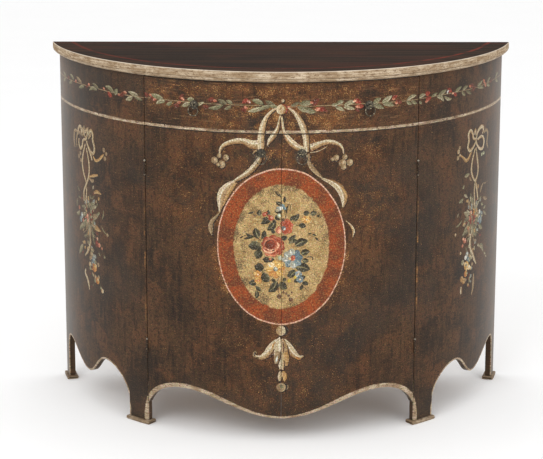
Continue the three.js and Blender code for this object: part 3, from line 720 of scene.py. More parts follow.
def wood_material(name, axis):
    """Bare inner wood with its grain along an axis, which becomes the vector's X."""
    material, t = new_material(name)
    parts = t.apart(t.place())
    order = {k: parts[("xyz".index(axis) + k) % 3] for k in range(3)}
    wood = t.group(WOOD, t.node("ShaderNodeCombineXYZ", order).outputs[0])
    t.surface(wood["Color"], 0.7, t.bump(wood["Height"], 0.25, 0.0005), gloss=0.3)
    return material


def iron_material():
    """Hinges under the same dark paint, worn in specks, with painted highlights at three barrel
    ends.
    """
    material, t = new_material("painted_iron")
    place = t.place()
    height = t.apart(place)[2]
    worn = t.noise(place, 320, 4, 0.7)
    (_, upper), (_, lower) = HINGES
    # painted highlights, pale at the barrels' ends and brightest on the upper ones
    highlit_ends = ((upper + HINGE_HALF, 0.5), (upper - HINGE_HALF, 0.2), (lower + HINGE_HALF, 0.35))
    colour = t.tints(
        srgb(42, 32, 25),
        (worn, 0.45, 0.65, 1, (64, 48, 36)),
        (t.noise(place, 300, 3, 0.7), 0.6, 0.66, 1, (160, 140, 110)),
        *((t.away(height, tip / 1000), 0.0028, 0.001, share, (200, 190, 172))
          for tip, share in highlit_ends))
    t.surface(colour, 0.6, t.bump(worn, 0.3, 0.0004), gloss=0.15)
    return material


def brass_material(name, bright):
    """Old brass, nearly black, bright where handled and as painted highlights: more with a higher
    bright.
    """
    material, t = new_material(name)
    place = t.place()
    tarnish = t.noise(place, 260, 4, 0.7)
    low, high = 0.66 - 0.3 * bright, 0.74 - 0.3 * bright
    # bright patches: handled brass that also stands in as painted highlights
    colour = t.tints(
        srgb(78, 71, 57),
        (tarnish, 0.4, 0.62, 1, (36, 32, 27)),
        (t.noise(place, 210, 3, 0.6), low, high, 1, (150, 137, 110)))
    rough = t.plus(t.times(tarnish, 0.3), 0.25)
    t.surface(colour, rough, t.bump(tarnish, 0.25, 0.0003), metal=0.4, gloss=0.4)
    return material


GROUND = ground_material()
IVORY_PAINT = ivory_material()
TOP_PAINT = top_material()
WOOD_X = wood_material("bare_wood_along", "x")
WOOD_Y = wood_material("bare_wood_deep", "y")
WOOD_Z = wood_material("bare_wood_upright", "z")
IRON = iron_material()
BRASS = brass_material("old_brass", 0.35)
RUBBED_AND_HIGHLIT_BRASS = brass_material("rubbed_and_highlit_brass", 0.5)


# Painted fronts: side panels, doors, drawer front

def painted_board(name, line, high, body, node, side=1, to_back=False, bands=()):
    """A bent board with its painted face, and pale bands on it.

    Line is its lower edge. Each band is an edge and the width of the pale paint along that edge.
    """
    slope = edge_slope(line) if bands else None
    points, faces, where, outer = board_points(
        line[:, 0], line[:, 1], high, 0.0, THICK, ARRIS, side, to_back, slope)
    unsigned = np.stack([np.abs(where[..., 0]), where[..., 1]], axis=-1)
    trim = np.full(outer.shape, NO_BAND)
    for edge, width in bands:
        trim = np.minimum(trim, trim_share(unsigned, edge, width))
    values = {"outer": outer, "trim": np.where(outer > 0.5, trim, NO_BAND), "rub": rub_at(where)}
    piece(name, points, faces, body, GROUND, where, values, replaces=[node])


for word, side in SIDES:
    edge = side_edge()
    foot_ends = (PANEL_START + FOOT_WIDE, BACK_ARC - REAR_FOOT_WIDE)
    beside_foot = np.abs(edge[:, :1] - foot_ends).min(axis=1) < 1
    lower = edge[(edge[:, 1] > FOOT_LOW) | beside_foot]
    front = np.array([[PANEL_START, FOOT_LOW], [PANEL_START, FRONT_BAND_HIGH]])
    bands = [(lower, np.full(len(lower), SIDE_BAND)), (front, np.full(2, FRONT_BAND))]
    painted_board(f"{word}_side_panel_smooth", edge, CASE_TOP, "case", f"{word}_side_panel", side,
                  True, bands)

    edge = door_edge()
    bands = [(edge, np.interp(edge[:, 0], DOOR_BAND_AT, DOOR_BAND))]
    painted_board(f"{word}_door_smooth", edge, DOOR_HIGH, f"{word}_door_leaf", f"{word}_door", side,
                  False, bands)

drawer_arcs = np.linspace(-FRONT_END, FRONT_END, 181)
drawer_line = np.stack([drawer_arcs, np.full(len(drawer_arcs), DRAWER_LOW)], axis=1)
painted_board("drawer_front_smooth", drawer_line, DRAWER_HIGH, "drawer", "drawer_front")


# Foot pads, posts, cleats and rail

def plain_board(node, ends, count, heights, insets, radius, material, side=1, to_back=False,
                shade_and_dirt=0.0):
    """A bent piece of one colour, with a rounded section between two lengths along the face."""
    points, faces, where, outer = board_points(
        np.linspace(*ends, count), *heights, *insets, radius, side, to_back, rows=(10, 4))
    piece(node.replace("_foot", "") + "_smooth", points, faces, "case", material, where,
          {"shade_and_dirt": np.full(outer.shape, shade_and_dirt)}, replaces=[node])


def foot_pad(node, ends, count, side, to_back, shade_and_dirt):
    """A pad under a foot, standing out from it in front and inside."""
    plain_board(node, ends, count, (0.0, PAD_HIGH), (-PAD_PROUD, THICK + PAD_PROUD), PAD_ROUND,
                IVORY_PAINT, side, to_back, shade_and_dirt)


def strut(node, ends, count, heights, deep, material, side=1, to_back=False):
    """A bare piece just inside the fronts: a post, a shelf cleat or the rail."""
    insets, soft = (THICK + PLAY, THICK + PLAY + deep), 1.0
    plain_board(node, ends, count, heights, insets, soft, material, side, to_back)


for word, side in SIDES:
    front_foot = (PANEL_START - PAD_PROUD, PANEL_START + FOOT_WIDE + PAD_PROUD)
    rear_foot = (BACK_ARC - REAR_FOOT_WIDE - PAD_PROUD, BACK_ARC)
    front_post = (PANEL_START, PANEL_START + POST_WIDE)
    rear_post = (BACK_ARC - REAR_POST_WIDE, BACK_ARC)
    cleat = (front_post[1] + PLAY, rear_post[0] - PLAY)
    # The pads' ivory is browned evenly, more on the rear pads than on the front ones
    foot_pad(f"{word}_front_foot_pad", front_foot, 26, side, False, 0.45)
    foot_pad(f"{word}_rear_foot_pad", rear_foot, 18, side, True, 0.7)
    high = (POST_LOW, CASE_TOP)
    strut(f"{word}_front_post", front_post, 14, high, POST_DEEP, WOOD_Z, side)
    strut(f"{word}_rear_post", rear_post, 10, high, POST_DEEP, WOOD_Z, side, True)
    strut(f"{word}_shelf_cleat", cleat, 60, (CLEAT_LOW, CLEAT_HIGH), CLEAT_DEEP, WOOD_Y, side)
strut("top_front_rail", (-PANEL_START + PLAY, PANEL_START - PLAY), 140,
      (CASE_TOP - RAIL_HIGH, CASE_TOP), RAIL_DEEP, WOOD_X)


# Top and moulding

# The top's upper round and how far its lines draw in at the back; the moulding's insets and step
TOP_ROUND, DRAWN_IN_SHARE = 2.2, 0.985
MOULD_DEEP, MOULD_FOOT, MOULD_LIP = 33.0, 10.0, 1.0


def swept(section, count):
    """A section of (inset, height) carried round from one back corner to the other."""
    turns = np.linspace(-1, 1, count)[:, None] * back_turn(section[:, 0])[None, :]
    x, y = plan(turns, np.broadcast_to(section[:, 0], turns.shape))
    return turns, np.stack([x, y, np.broadcast_to(section[:, 1], x.shape)], axis=-1)


def top_board():
    """The half-round top: rings along the curved edge, each from the edge straight to the back.

    The edge has a quarter round of ARRIS at its foot and of TOP_ROUND above. Rim is a point's
    distance from the edge line, edge is 1 on the pale side, and arris 1 on the upper round, which
    is painted paler.
    """
    edge = [(-OVERHANG + ARRIS * (1 - math.cos(t)), TOP_LOW + ARRIS * (1 - math.sin(t)))
            for t in np.linspace(math.pi / 2, 0, 5)]
    edge += [(-OVERHANG, height) for height in np.linspace(TOP_LOW + 3, HEIGHT - TOP_ROUND, 6)]
    edge += [(-OVERHANG + TOP_ROUND * (1 - math.cos(t)), HEIGHT - TOP_ROUND * (1 - math.sin(t)))
             for t in np.linspace(0, math.pi / 2, 7)[1:]]
    turns, front = swept(np.array(edge), 241)
    share = (np.linspace(0, 1, 40) ** 1.3)[1:]
    start = front[:, -1]
    back = np.stack([start[:, 0] * DRAWN_IN_SHARE, np.full(len(start), BACK_Y), start[:, 2]],
                    axis=-1)
    inner = start[:, None] + (back - start)[:, None] * share[:, None]
    inner[..., 2] = HEIGHT
    under = inner[:, ::-1].copy()
    under[..., 2] = TOP_LOW
    points = np.concatenate([front, inner, under], axis=1)
    shape = points.shape[:2]
    rim_x, rim_y = plan(np.linspace(-1, 1, 1201) * back_turn(-OVERHANG), -OVERHANG)
    rim = np.concatenate([
        np.hypot(part[:, :1] - rim_x, part[:, 1:2] - rim_y).min(axis=1)
        for part in np.array_split(points.reshape(-1, 3), 12)]).reshape(shape)
    row = np.arange(shape[1])
    pale = (row < len(edge) - 3).astype(float)
    arris = ((row >= len(edge) - 6) & (row < len(edge) - 2)).astype(float)
    where = np.stack([np.broadcast_to(arc_at(turns[:, :1]), shape), points[..., 2]], axis=-1)
    where[:, len(edge):, 1] += rim[:, len(edge):]
    values = {"rim": rim / 1000, "edge": np.broadcast_to(pale, shape),
              "arris": np.broadcast_to(arris, shape)}
    piece("top_board_smooth", points, ring_faces(*shape), "case", TOP_PAINT, where,
          values, replaces=["top_board"])


def moulding():
    """The ovolo under the top: a quarter round under a small step, carried round to the back.

    Section points are (inset, height, darkening): the darkening is painted shade, a little in the
    corner under the top's lip and full where the ovolo turns to face down.
    """
    lip = -OVERHANG + ARRIS
    # the moulding's top under the top's lip is a little darkened as painted shade
    section = [(MOULD_DEEP, MOULD_LOW, 0.0), (MOULD_DEEP, MOULD_TOP, 0.0),
               (lip + 1.0, MOULD_TOP, 0.4), (lip + 0.2, MOULD_TOP - 0.4, 0.3),
               (lip, MOULD_TOP - ARRIS, 0.1)]
    top = MOULD_TOP - MOULD_LIP
    # the ovolo, darkened as painted shade where it turns to face down
    for angle in np.linspace(0.08, math.pi / 2, 15):
        inset = -(OVERHANG - MOULD_LIP) * math.cos(angle)
        height = top - (top - MOULD_LOW) * math.sin(angle)
        section.append((inset, height, min(1.0, max(0.0, (angle - 0.8) / 0.4))))
    section.append((MOULD_FOOT, MOULD_LOW, 1.0))
    section = np.array(section)[::-1]
    turns, points = swept(section, 221)
    run = np.broadcast_to(MOULD_LOW + run_length(section[:, :2]), turns.shape)
    piece("top_edge_moulding_smooth", points, ring_faces(*turns.shape), "case",
          IVORY_PAINT, np.stack([arc_at(turns), run], axis=-1),
          {"shade_and_dirt": np.broadcast_to(section[:, 2], turns.shape)}, replaces=["top_edge_moulding"])


top_board()
moulding()


# Hardware, drawn on the face: u along it to the right, v up, w out of it

def place_on_face(points, arc, height):
    """Points (u, v, w) put on the face: its point at an arc and height + u along + v up + w out."""
    turn = float(turn_at(arc))
    x, y = (float(c) for c in plan(turn, 0.0))
    normal = np.array([HALF_DEEP * math.sin(turn), -HALF_WIDE * math.cos(turn)])
    nx, ny = normal / np.linalg.norm(normal)
    u, v, w = points.T
    return np.stack([x - ny * u + nx * w, y + nx * u + ny * w, height + v], axis=-1)


def turned(profile, steps, axis, petals=None):
    """A lathe of (radius, distance) pairs about the axis w or v.

    Petals is (count, depth): the radius swells with cos(count angle), most at the outside.
    """
    angle = np.linspace(0, 2 * math.pi, steps, endpoint=False)
    profile = np.asarray(profile, float)
    radius = np.broadcast_to(profile[:, :1], (len(profile), steps))
    along = np.broadcast_to(profile[:, 1:2], (len(profile), steps))
    if petals:
        count, depth = petals
        share = (profile[:, :1] / profile[:, 0].max()) ** 2
        radius = radius * (1 + depth * np.cos(count * angle) * share)
    a, b = radius * np.cos(angle), radius * np.sin(angle)
    points = np.stack((a, b, along) if axis == "w" else (a, along, b), axis=-1)
    return points.reshape(-1, 3), ring_faces(len(profile), steps)


def torus(radius, wire, steps, around):
    """A ring in the u v plane about the origin: (R + r cos b)(cos a, sin a), r sin b."""
    a = np.linspace(0, 2 * math.pi, steps, endpoint=False)[:, None]
    b = np.linspace(0, 2 * math.pi, around, endpoint=False)[None, :]
    reach = radius + wire * np.cos(b)
    out = wire * np.sin(b) * np.ones_like(a)
    points = np.stack([reach * np.cos(a), reach * np.sin(a), out], axis=-1)
    return points.reshape(-1, 3), ring_faces(steps, around, closed=True)


def capsule(radius, low, high, axis="v"):
    """A cylinder with softened ends."""
    soft, tip = min(0.5, radius / 3), 0.02
    start = [(tip, 0.0), (radius - soft, 0.0), (radius - soft * 0.3, soft * 0.3), (radius, soft)]
    profile = [(r, low + d) for r, d in start] + [(r, high - d) for r, d in start[::-1]]
    return turned(profile, 32, axis)


def box(u0, u1, v0, v1, w0, w1):
    """Eight corners and six faces."""
    corners = [(u, v, w) for w in (w0, w1) for v in (v0, v1) for u in (u0, u1)]
    faces = [(0, 2, 3, 1), (4, 5, 7, 6), (0, 1, 5, 4), (2, 6, 7, 3), (0, 4, 6, 2), (1, 3, 7, 5)]
    return np.array(corners), [list(face) for face in faces]


def shifted(part, v=0.0, w=0.0):
    """A part moved up and out."""
    return part[0] + np.array([0.0, v, w]), part[1]


def hardware(node, parts, arc, height, body, slot, material):
    """The parts of one metal piece, put on the face in place of its CAD node."""
    points, faces = join(parts)
    name = node.replace("_hinge", "").replace("_pull", "") + "_smooth"
    piece(name, place_on_face(points, arc, height), faces, body, material,
          replaces=[node], sharp=50)


# Hinges: knuckle's height, leaf's faces and ends, web's end, barrel and its middle, pin and heads
KNUCKLE = (2 * HINGE_HALF - 2 * PLAY) / 3
LEAF_NEAR, LEAF_FAR, LEAF_IN, LEAF_OUT, WEB_IN = 1.0, 2.4, -12.0, -1.1, -2.5
BARREL, BARREL_OUT = 2.6, 1.8
PIN, PIN_HALF, PIN_HEAD, HEAD_LOW, HEAD_HIGH = 1.15, 18.9, 1.7, 18.8, 19.8

# Pulls: the rosette's profile as (radius, distance) and its petals, the eye on its shank, the ring
ROSETTE = [(2.4, 0.35), (10.9, 0.35), (11.0, 0.8), (10.7, 1.4), (9.9, 2.0), (9.2, 1.9),
           (8.5, 1.5), (7.4, 1.7), (6.0, 2.4), (4.6, 2.8), (3.4, 3.15), (2.4, 3.2)]
PETALS = (12, 0.035)
EYE, EYE_WIRE, EYE_WIDER, EYE_OUT = 2.75, 0.84, 1.7, 7.0
SHANK, SHANK_IN, SHANK_OUT = 1.9, -11.9, 4.4
RING, RING_WIRE = 12.6, 1.25

for word, side in SIDES:
    leaves = (("fixed", side, (0, 2), "case"), ("door", -side, (1,), f"{word}_door_leaf"))
    for level, height in HINGES:
        for leaf, towards, knuckles, body in leaves:
            near, far = sorted((towards * LEAF_NEAR, towards * LEAF_FAR))
            parts = [box(near, far, -HINGE_HALF, HINGE_HALF, LEAF_IN, LEAF_OUT)]
            for knuckle in knuckles:
                low = -HINGE_HALF + knuckle * (KNUCKLE + PLAY)
                parts.append(shifted(capsule(BARREL, low, low + KNUCKLE), w=BARREL_OUT))
                parts.append(box(near, far, low, low + KNUCKLE, WEB_IN, BARREL_OUT))
            hardware(f"{word}_{level}_hinge_{leaf}_leaf", parts, side * SEAM, height, body,
                     "dark_iron", IRON)
        pin = [capsule(PIN_HEAD, HEAD_LOW, HEAD_HIGH), capsule(PIN_HEAD, -HEAD_HIGH, -HEAD_LOW),
               capsule(PIN, -PIN_HALF, PIN_HALF)]
        hardware(f"{word}_{level}_hinge_pin", [shifted(part, w=BARREL_OUT) for part in pin],
                 side * SEAM, height, "case", "dark_iron", IRON)

    for pull, arc, height in PULLS:
        node = f"{word}_{pull}_pull"
        body = "drawer" if pull == "drawer" else f"{word}_door_leaf"
        place = (side * arc, height)
        rosette = turned(ROSETTE, 72, "w", PETALS)
        hardware(f"{node}_rosette", [rosette], *place, body, "old_brass", BRASS)
        points, faces = torus(EYE, EYE_WIRE, 32, 12)
        eye = np.stack([points[:, 2] * EYE_WIDER, points[:, 1], points[:, 0] + EYE_OUT], axis=-1)
        shank = capsule(SHANK, SHANK_IN, SHANK_OUT, "w")
        hardware(f"{node}_eye", [(eye, faces), shank], *place, body, "old_brass", BRASS)
        ring = shifted(torus(RING, RING_WIRE, 72, 18), v=-PLAY - RING, w=EYE_OUT)
        hardware(f"{node}_ring", [ring], *place, f"{word}_{pull}_ring", "old_brass", RUBBED_AND_HIGHLIT_BRASS)


# Painted ornament

# The colours at a stroke's left edge, in its middle, and at its right edge
TONES = {
    "cream": ((154, 120, 78), (192, 170, 132), (208, 193, 162)),
    "cream_up": ((210, 195, 164), (190, 165, 124), (140, 96, 50)),
    "cream_down": ((130, 88, 46), (186, 161, 120), (212, 198, 170)),
    "gleam": ((208, 194, 164), (228, 218, 194), (208, 194, 164)),
    "dull_cream": ((128, 104, 74), (156, 132, 98), (172, 150, 116)),
    "ochre": ((150, 112, 66), (184, 146, 92), (204, 172, 122)),
    "shade": ((40, 31, 25), (36, 28, 23), (40, 31, 25)),
    "sage": ((98, 98, 70), (136, 132, 100), (158, 152, 122)),
    "sage_dark": ((76, 72, 50), (108, 102, 76), (132, 124, 96)),
    "sage_light": ((132, 128, 98), (162, 154, 124), (188, 180, 150)),
    "red": ((112, 42, 30), (144, 54, 38), (162, 70, 50)),
    "dull_red": ((84, 42, 30), (108, 50, 36), (122, 60, 44)),
    "pink": ((160, 84, 62), (188, 116, 90), (206, 148, 120)),
    "leaf": ((22, 24, 20), (34, 36, 32), (62, 62, 50)),
    "leaf_olive": ((24, 26, 22), (46, 48, 40), (104, 102, 78)),
    "vein": ((120, 116, 84), (142, 136, 100), (120, 116, 84)),
    "stem": ((44, 42, 32), (52, 48, 36), (60, 54, 40)),
    "brown": ((74, 52, 40), (96, 66, 50), (116, 82, 62)),
    "rose_dark": ((84, 28, 20), (110, 38, 26), (126, 48, 34)),
    "rose": ((124, 46, 30), (150, 60, 40), (168, 78, 54)),
    "rose_light": ((164, 80, 56), (190, 112, 82), (208, 140, 108)),
    "rose_pale": ((206, 134, 102), (228, 174, 142), (238, 200, 170)),
    "poppy": ((136, 48, 32), (166, 66, 44), (184, 88, 60)),
    "blue": ((76, 98, 110), (102, 126, 136), (134, 152, 156)),
    "blue_deep": ((54, 76, 92), (74, 100, 116), (98, 124, 136)),
    "blue_grey": ((124, 132, 128), (150, 156, 148), (176, 176, 160)),
    "slate": ((58, 66, 70), (88, 98, 102), (124, 132, 132)),
    "orange": ((150, 92, 46), (186, 124, 62), (204, 150, 86)),
    "yellow": ((176, 130, 56), (204, 158, 78), (222, 186, 116)),
    "straw": ((206, 172, 112), (226, 198, 146), (236, 214, 170)),
    "lemon": ((186, 160, 52), (204, 178, 64), (214, 192, 92)),
    "white": ((206, 206, 196), (226, 226, 216), (236, 236, 228)),
    "mint": ((140, 148, 116), (172, 178, 146), (200, 202, 172)),
}

# The tone of the light dabs on a tone
LIT = {
    "blue": "blue_grey", "blue_deep": "blue", "orange": "yellow", "yellow": "straw",
    "poppy": "rose_light", "rose": "rose_light", "dull_red": "red", "red": "pink",
    "blue_grey": "white", "straw": "white", "pink": "rose_pale", "dull_cream": "cream",
}

# How much a width, the tone along a stroke and the tone of a whole stroke waver
WIDTH_WAVER, TONE_WAVER, STROKE_WAVER = 0.03, 0.06, 0.05

ACROSS = np.array([1.0, 0.5, 0.0, -0.5, -1.0])
HAND = np.random.default_rng(11)
FILM = {"points": [], "colours": [], "faces": [], "levels": [], "boxes": [], "count": 0}


def spline(points, per_span=14):
    """Points of a curve through given points (Catmull-Rom).

    Half of (2b) + (c-a)t + (2a-5b+4c-d)t^2 + (3b-a-3c+d)t^3 over each span from b to c.
    """
    points = np.asarray(points, float)
    ends = np.concatenate([[2 * points[0] - points[1]], points, [2 * points[-1] - points[-2]]])
    t = np.linspace(0, 1, per_span, endpoint=False)[:, None]
    spans = [
        0.5 * (2 * b + (c - a) * t + (2 * a - 5 * b + 4 * c - d) * t ** 2
               + (3 * b - a - 3 * c + d) * t ** 3)
        for a, b, c, d in zip(ends, ends[1:], ends[2:], ends[3:])
    ]
    return np.concatenate(spans + [points[-1:]])


# The length from which a stroke's rows are even, and the fewest and most rows of a stroke
LONG, ROWS = 40, (7, 60)


def lay(path, widths, tone, step=2.2):
    """One stroke: a strip along a curve, five points across, its widths spread along the path.

    Path places are (length along the face, height). Rows stand about a step apart, in strokes
    under LONG closer at both ends: at (1 - cos) / 2 of the length.
    Widths and colours waver by seeded draws. The stroke's level is one over every stroke whose
    box it meets, so that later strokes lie on earlier ones.
    """
    path = np.asarray(path, float)
    curve_points = spline(path) if len(path) > 2 else np.linspace(path[0], path[-1], 15)
    lengths = run_length(curve_points)
    long = lengths[-1]
    count = int(np.clip(long / step, *ROWS))
    if long > LONG:
        at = np.linspace(0, long, count)
    else:
        at = np.interp(0.5 - 0.5 * np.cos(np.linspace(0, math.pi, count)), [0, 1], [0, long])
    shares = np.interp(at, lengths, np.linspace(0, 1, len(lengths)))
    middle = np.stack([np.interp(at, lengths, curve_points[:, k]) for k in (0, 1)], axis=1)
    along = np.gradient(middle, axis=0)
    along /= np.maximum(np.hypot(*along.T), 1e-6)[:, None]
    left = np.stack([-along[:, 1], along[:, 0]], axis=1)
    wide = np.interp(shares, np.linspace(0, 1, len(widths)), widths)
    wide = wide * (1 + WIDTH_WAVER * HAND.standard_normal(count)) / 2
    points = middle[:, None, :] + left[:, None, :] * (wide[:, None] * ACROSS[None, :])[..., None]
    points = points.reshape(-1, 2)
    low, mid, high = (np.array(srgb(*c)[:3]) for c in TONES[tone])
    across = np.stack([low, (low + mid) / 2, mid, (mid + high) / 2, high])
    colours = np.broadcast_to(across[None], (count, 5, 3))
    colours = colours * (1 + TONE_WAVER * HAND.standard_normal((count, 1, 1)))
    colours = np.clip(colours * (1 + STROKE_WAVER * HAND.standard_normal()), 0, 1)
    box_low, box_high = points.min(axis=0), points.max(axis=0)
    boxes = np.array(FILM["boxes"]).reshape(-1, 4)
    meets = ((boxes[:, :2] < box_high) & (boxes[:, 2:] > box_low)).all(axis=1)
    level = 1 + max(np.array(FILM["levels"])[meets], default=0)
    start = FILM["count"] + np.arange(count - 1)[:, None] * 5 + np.arange(4)[None, :]
    quads = np.stack([start, start + 1, start + 6, start + 5], axis=-1)
    FILM["faces"].append(quads.reshape(-1, 4))
    FILM["points"].append(np.concatenate([points, np.full((count * 5, 1), level)], axis=1))
    FILM["colours"].append(colours.reshape(-1, 3))
    FILM["levels"].append(level)
    FILM["boxes"].append(np.concatenate([box_low, box_high]))
    FILM["count"] += count * 5


# Shares of the full width along a leaf, a round dab and a petal, and the row steps of small marks
LEAF_SHARES = np.array([0.2, 0.7, 0.93, 1.0, 1.0, 0.82, 0.5, 0.08])
ROUND_SHARES = np.sqrt(1 - np.linspace(-0.995, 0.995, 11) ** 2)
PETAL_SHARES = np.array([0.3, 0.5, 0.7, 0.88, 1.0, 0.96, 0.7, 0.2])
LEAF_STEP, PETAL_STEP, DOT_STEP = 1.5, 1.4, 1.2


def leaf(s0, z0, s1, z1, width, tone, bend=0.0, vein=None):
    """A leaf from its foot to its tip, bent to the left by a share of its length, and its vein."""
    a, b = np.array([s0, z0], float), np.array([s1, z1], float)
    middle = (a + b) / 2 + bend * np.array([-(b - a)[1], (b - a)[0]])
    lay([a, middle, b], LEAF_SHARES * width, tone, LEAF_STEP)
    if vein:
        widths = [width * 0.16, width * 0.12, 0.3]
        lay([a, middle, b * 0.85 + a * 0.15], widths, vein, LEAF_STEP)


def dot(s, z, radius, tone, lit=None, tall=1.0):
    """A round dab, painted upwards, and a smaller one in the tone lit on it."""
    ends = [(s, z - radius * tall), (s, z + radius * tall)]
    lay(ends, ROUND_SHARES * 2 * radius, tone, DOT_STEP)
    if lit:
        ends = [(s + radius * 0.1, z - radius * 0.25), (s + radius * 0.2, z + radius * 0.6)]
        lay(ends, ROUND_SHARES * radius * 0.9, lit, DOT_STEP)


def dots(rows):
    """Dabs one after another."""
    for row in rows:
        dot(*row)


def strokes(rows):
    """Plain strokes one after another."""
    for row in rows:
        lay(*row)


# The width over which a ribbon has a gleam
WIDE = 9


def ribbon(points, widths, tone, shadow):
    """A ribbon over a dark line that lies off it by shadow, and a gleam along a wide pale one."""
    points, widths = np.asarray(points, float), np.asarray(widths)
    if shadow:
        lay(points + np.array(shadow), widths + 0.6, "shade")
    lay(points, widths, tone)
    if max(widths) > WIDE and tone in ("cream", "cream_up", "cream_down"):
        lay(points + np.array([-0.09, 0.14]) * max(widths), widths * 0.2, "gleam")


def flower(s, z, radius, tones, heart, turn, petals, lit="white", flat=1.0):
    """Petals with light strokes on them, in tones that repeat, and a heart with a light dab."""
    c = np.array([s, z], float)
    width = radius * 5.6 / petals
    for k in range(petals):
        angle = turn + 2 * math.pi * k / petals
        tone = tones[k % len(tones)]
        u = np.array([math.cos(angle), math.sin(angle) * flat])
        ends = [c + u * radius * 0.12, c + u * radius]
        lay(ends, PETAL_SHARES * width, tone, PETAL_STEP)
        side = np.array([-u[1], u[0]]) * width * 0.14
        ends = [c + u * radius * 0.4 + side, c + u * radius * 0.9 + side]
        lay(ends, [0.4, width * 0.22, 0.3], LIT.get(tone, tone), PETAL_STEP)
    dot(s, z, radius * 0.24, heart)
    dot(s + radius * 0.07, z - radius * 0.04, radius * 0.09, lit)


# Where the strokes lie: tables of (length along the face, height)

# Garland. Stem: points. Leaves: foot, tip, width, tone. Berries: place, radius, tone, vein's tone.
GARLAND_STEM = [
    [(-838, 834), (-700, 833), (-560, 834), (-470, 832), (-359, 832)],
    [(-357, 833), (-280, 833), (-180, 832), (-60, 832), (-12, 829)],
    [(14, 829), (100, 831), (200, 831), (300, 829), (357, 829)],
    [(359, 830), (480, 831), (600, 830), (700, 832), (838, 833)],
]
GARLAND_LEAVES = [
    (-300, 835, -340, 842, 12, "sage"), (-294, 829, -321, 820, 10, "sage_light"),
    (-274, 829, -291, 821, 9, "sage"), (-214, 839, -233, 838, 11, "sage"),
    (-224, 830, -247, 821, 10, "sage_light"), (-203, 826, -188, 835, 6, "sage_light"),
    (-132, 834, -152, 843, 12, "sage_dark"), (-118, 835, -133, 841, 9, "sage"),
    (-141, 830, -178, 821, 10, "sage"), (-121, 829, -138, 820, 7, "sage"),
    (-44, 835, -71, 845, 12, "sage"), (-16, 832, -39, 844, 11, "sage_dark"),
    (-48, 827, -80, 817, 10, "sage_light"), (-27, 830, -53, 819, 10, "sage"),
    (-10, 829, -30, 832, 8, "sage"), (22, 832, 43, 841, 8, "sage_dark"),
    (42, 835, 74, 838, 13, "sage"), (38, 830, 57, 816, 11, "sage"), (51, 828, 82, 816, 13, "sage"),
    (119, 832, 136, 836, 8, "sage_light"), (131, 833, 149, 840, 10, "sage"),
    (129, 826, 151, 816, 9, "sage_light"), (150, 829, 180, 838, 10, "sage_light"),
    (149, 826, 177, 819, 9, "sage_light"), (225, 830, 245, 841, 12, "sage"),
    (225, 827, 254, 816, 12, "sage"), (249, 830, 276, 845, 12, "sage_light"),
    (251, 827, 283, 820, 11, "sage"), (320, 830, 350, 840, 9, "sage_light"),
    (319, 828, 336, 819, 8, "sage"), (334, 827, 352, 819, 8, "sage"),
    (-364, 825, -392, 831, 7, "sage"), (-377, 835, -411, 841, 10, "sage_light"),
    (-396, 830, -421, 820, 11, "sage_light"), (-462, 827, -452, 844, 12, "sage"),
    (-466, 832, -501, 844, 11, "sage"), (-532, 834, -561, 844, 9, "sage_dark"),
    (-539, 829, -579, 824, 9, "sage"), (-621, 837, -656, 848, 10, "dull_cream"),
    (-607, 829, -641, 822, 9, "sage"), (-676, 838, -706, 847, 9, "sage"),
    (-690, 829, -716, 822, 9, "sage"), (-750, 836, -778, 844, 9, "sage"),
    (-752, 830, -780, 822, 9, "sage"), (357, 833, 381, 839, 9, "sage_light"),
    (359, 824, 368, 816, 7, "sage"), (400, 830, 422, 838, 7, "sage"),
    (425, 831, 456, 842, 11, "sage"), (419, 829, 446, 814, 11, "sage_light"),
    (448, 826, 478, 817, 8, "sage_light"), (491, 832, 519, 842, 9, "sage"),
    (521, 829, 539, 818, 8, "sage"), (524, 833, 550, 840, 9, "sage"),
    (542, 829, 569, 817, 9, "sage_dark"), (602, 834, 634, 843, 8, "sage"),
    (602, 829, 643, 822, 9, "sage"), (668, 833, 692, 843, 8, "sage"),
    (664, 829, 690, 821, 8, "sage"), (740, 834, 770, 844, 9, "sage"),
    (742, 829, 772, 821, 9, "sage"),
]
GARLAND_BERRIES = [
    (-351, 841, 8, "dull_red"), (-338, 840, 4, "pink"), (-333, 831, 6, "dull_red"),
    (-325, 830, 4.5, "pink"), (-248, 844, 6, "dull_red"), (-246, 838, 5, "pink", "rose_pale"),
    (-255, 830, 5, "pink"), (-262, 822, 7, "dull_red"), (-171, 843, 8, "dull_red"),
    (-161, 840, 4.5, "pink"), (-184, 825, 7, "dull_red"), (-86, 841, 7, "red"),
    (-79, 840, 4.5, "pink", "white"), (-85, 827, 4.5, "pink"), (-92, 819, 6, "dull_red"),
    (80, 843, 8, "dull_red"), (79, 835, 6, "dull_red"), (71, 839, 4, "pink"), (96, 821, 8, "red"),
    (104, 819, 5, "dull_red"), (85, 824, 6, "pink", "rose_pale"), (185, 838, 8, "red"),
    (177, 838, 4, "rose_pale"), (192, 824, 7, "red"), (185, 825, 5.5, "pink", "rose_pale"),
    (184, 816, 5, "dull_red"), (285, 842, 6, "red"), (281, 838, 4, "pink"),
    (294, 831, 6, "dull_red"), (290, 827, 4.5, "pink"), (300, 826, 5, "dull_red"),
    (-423, 838, 5.5, "pink", "rose_pale"), (-434, 832, 8, "dull_red"), (-446, 828, 4, "pink"),
    (-482, 827, 8, "red"), (-507, 838, 4.5, "pink", "rose_pale"), (-580, 838, 5, "pink"),
    (-591, 833, 5, "dull_red"), (-662, 836, 6, "pink"), (-722, 834, 7, "dull_red"),
    (387, 841, 8, "red"), (390, 829, 8, "red"), (384, 822, 5, "pink"), (469, 839, 8, "red"),
    (462, 835, 3.5, "white"), (492, 825, 6.5, "red"), (482, 829, 4, "rose_pale"),
    (575, 838, 8, "dull_red"), (562, 838, 5, "pink"), (583, 829, 8, "dull_red"),
    (645, 838, 5.5, "pink"), (656, 829, 6, "pink"), (700, 832, 7, "dull_red"),
]

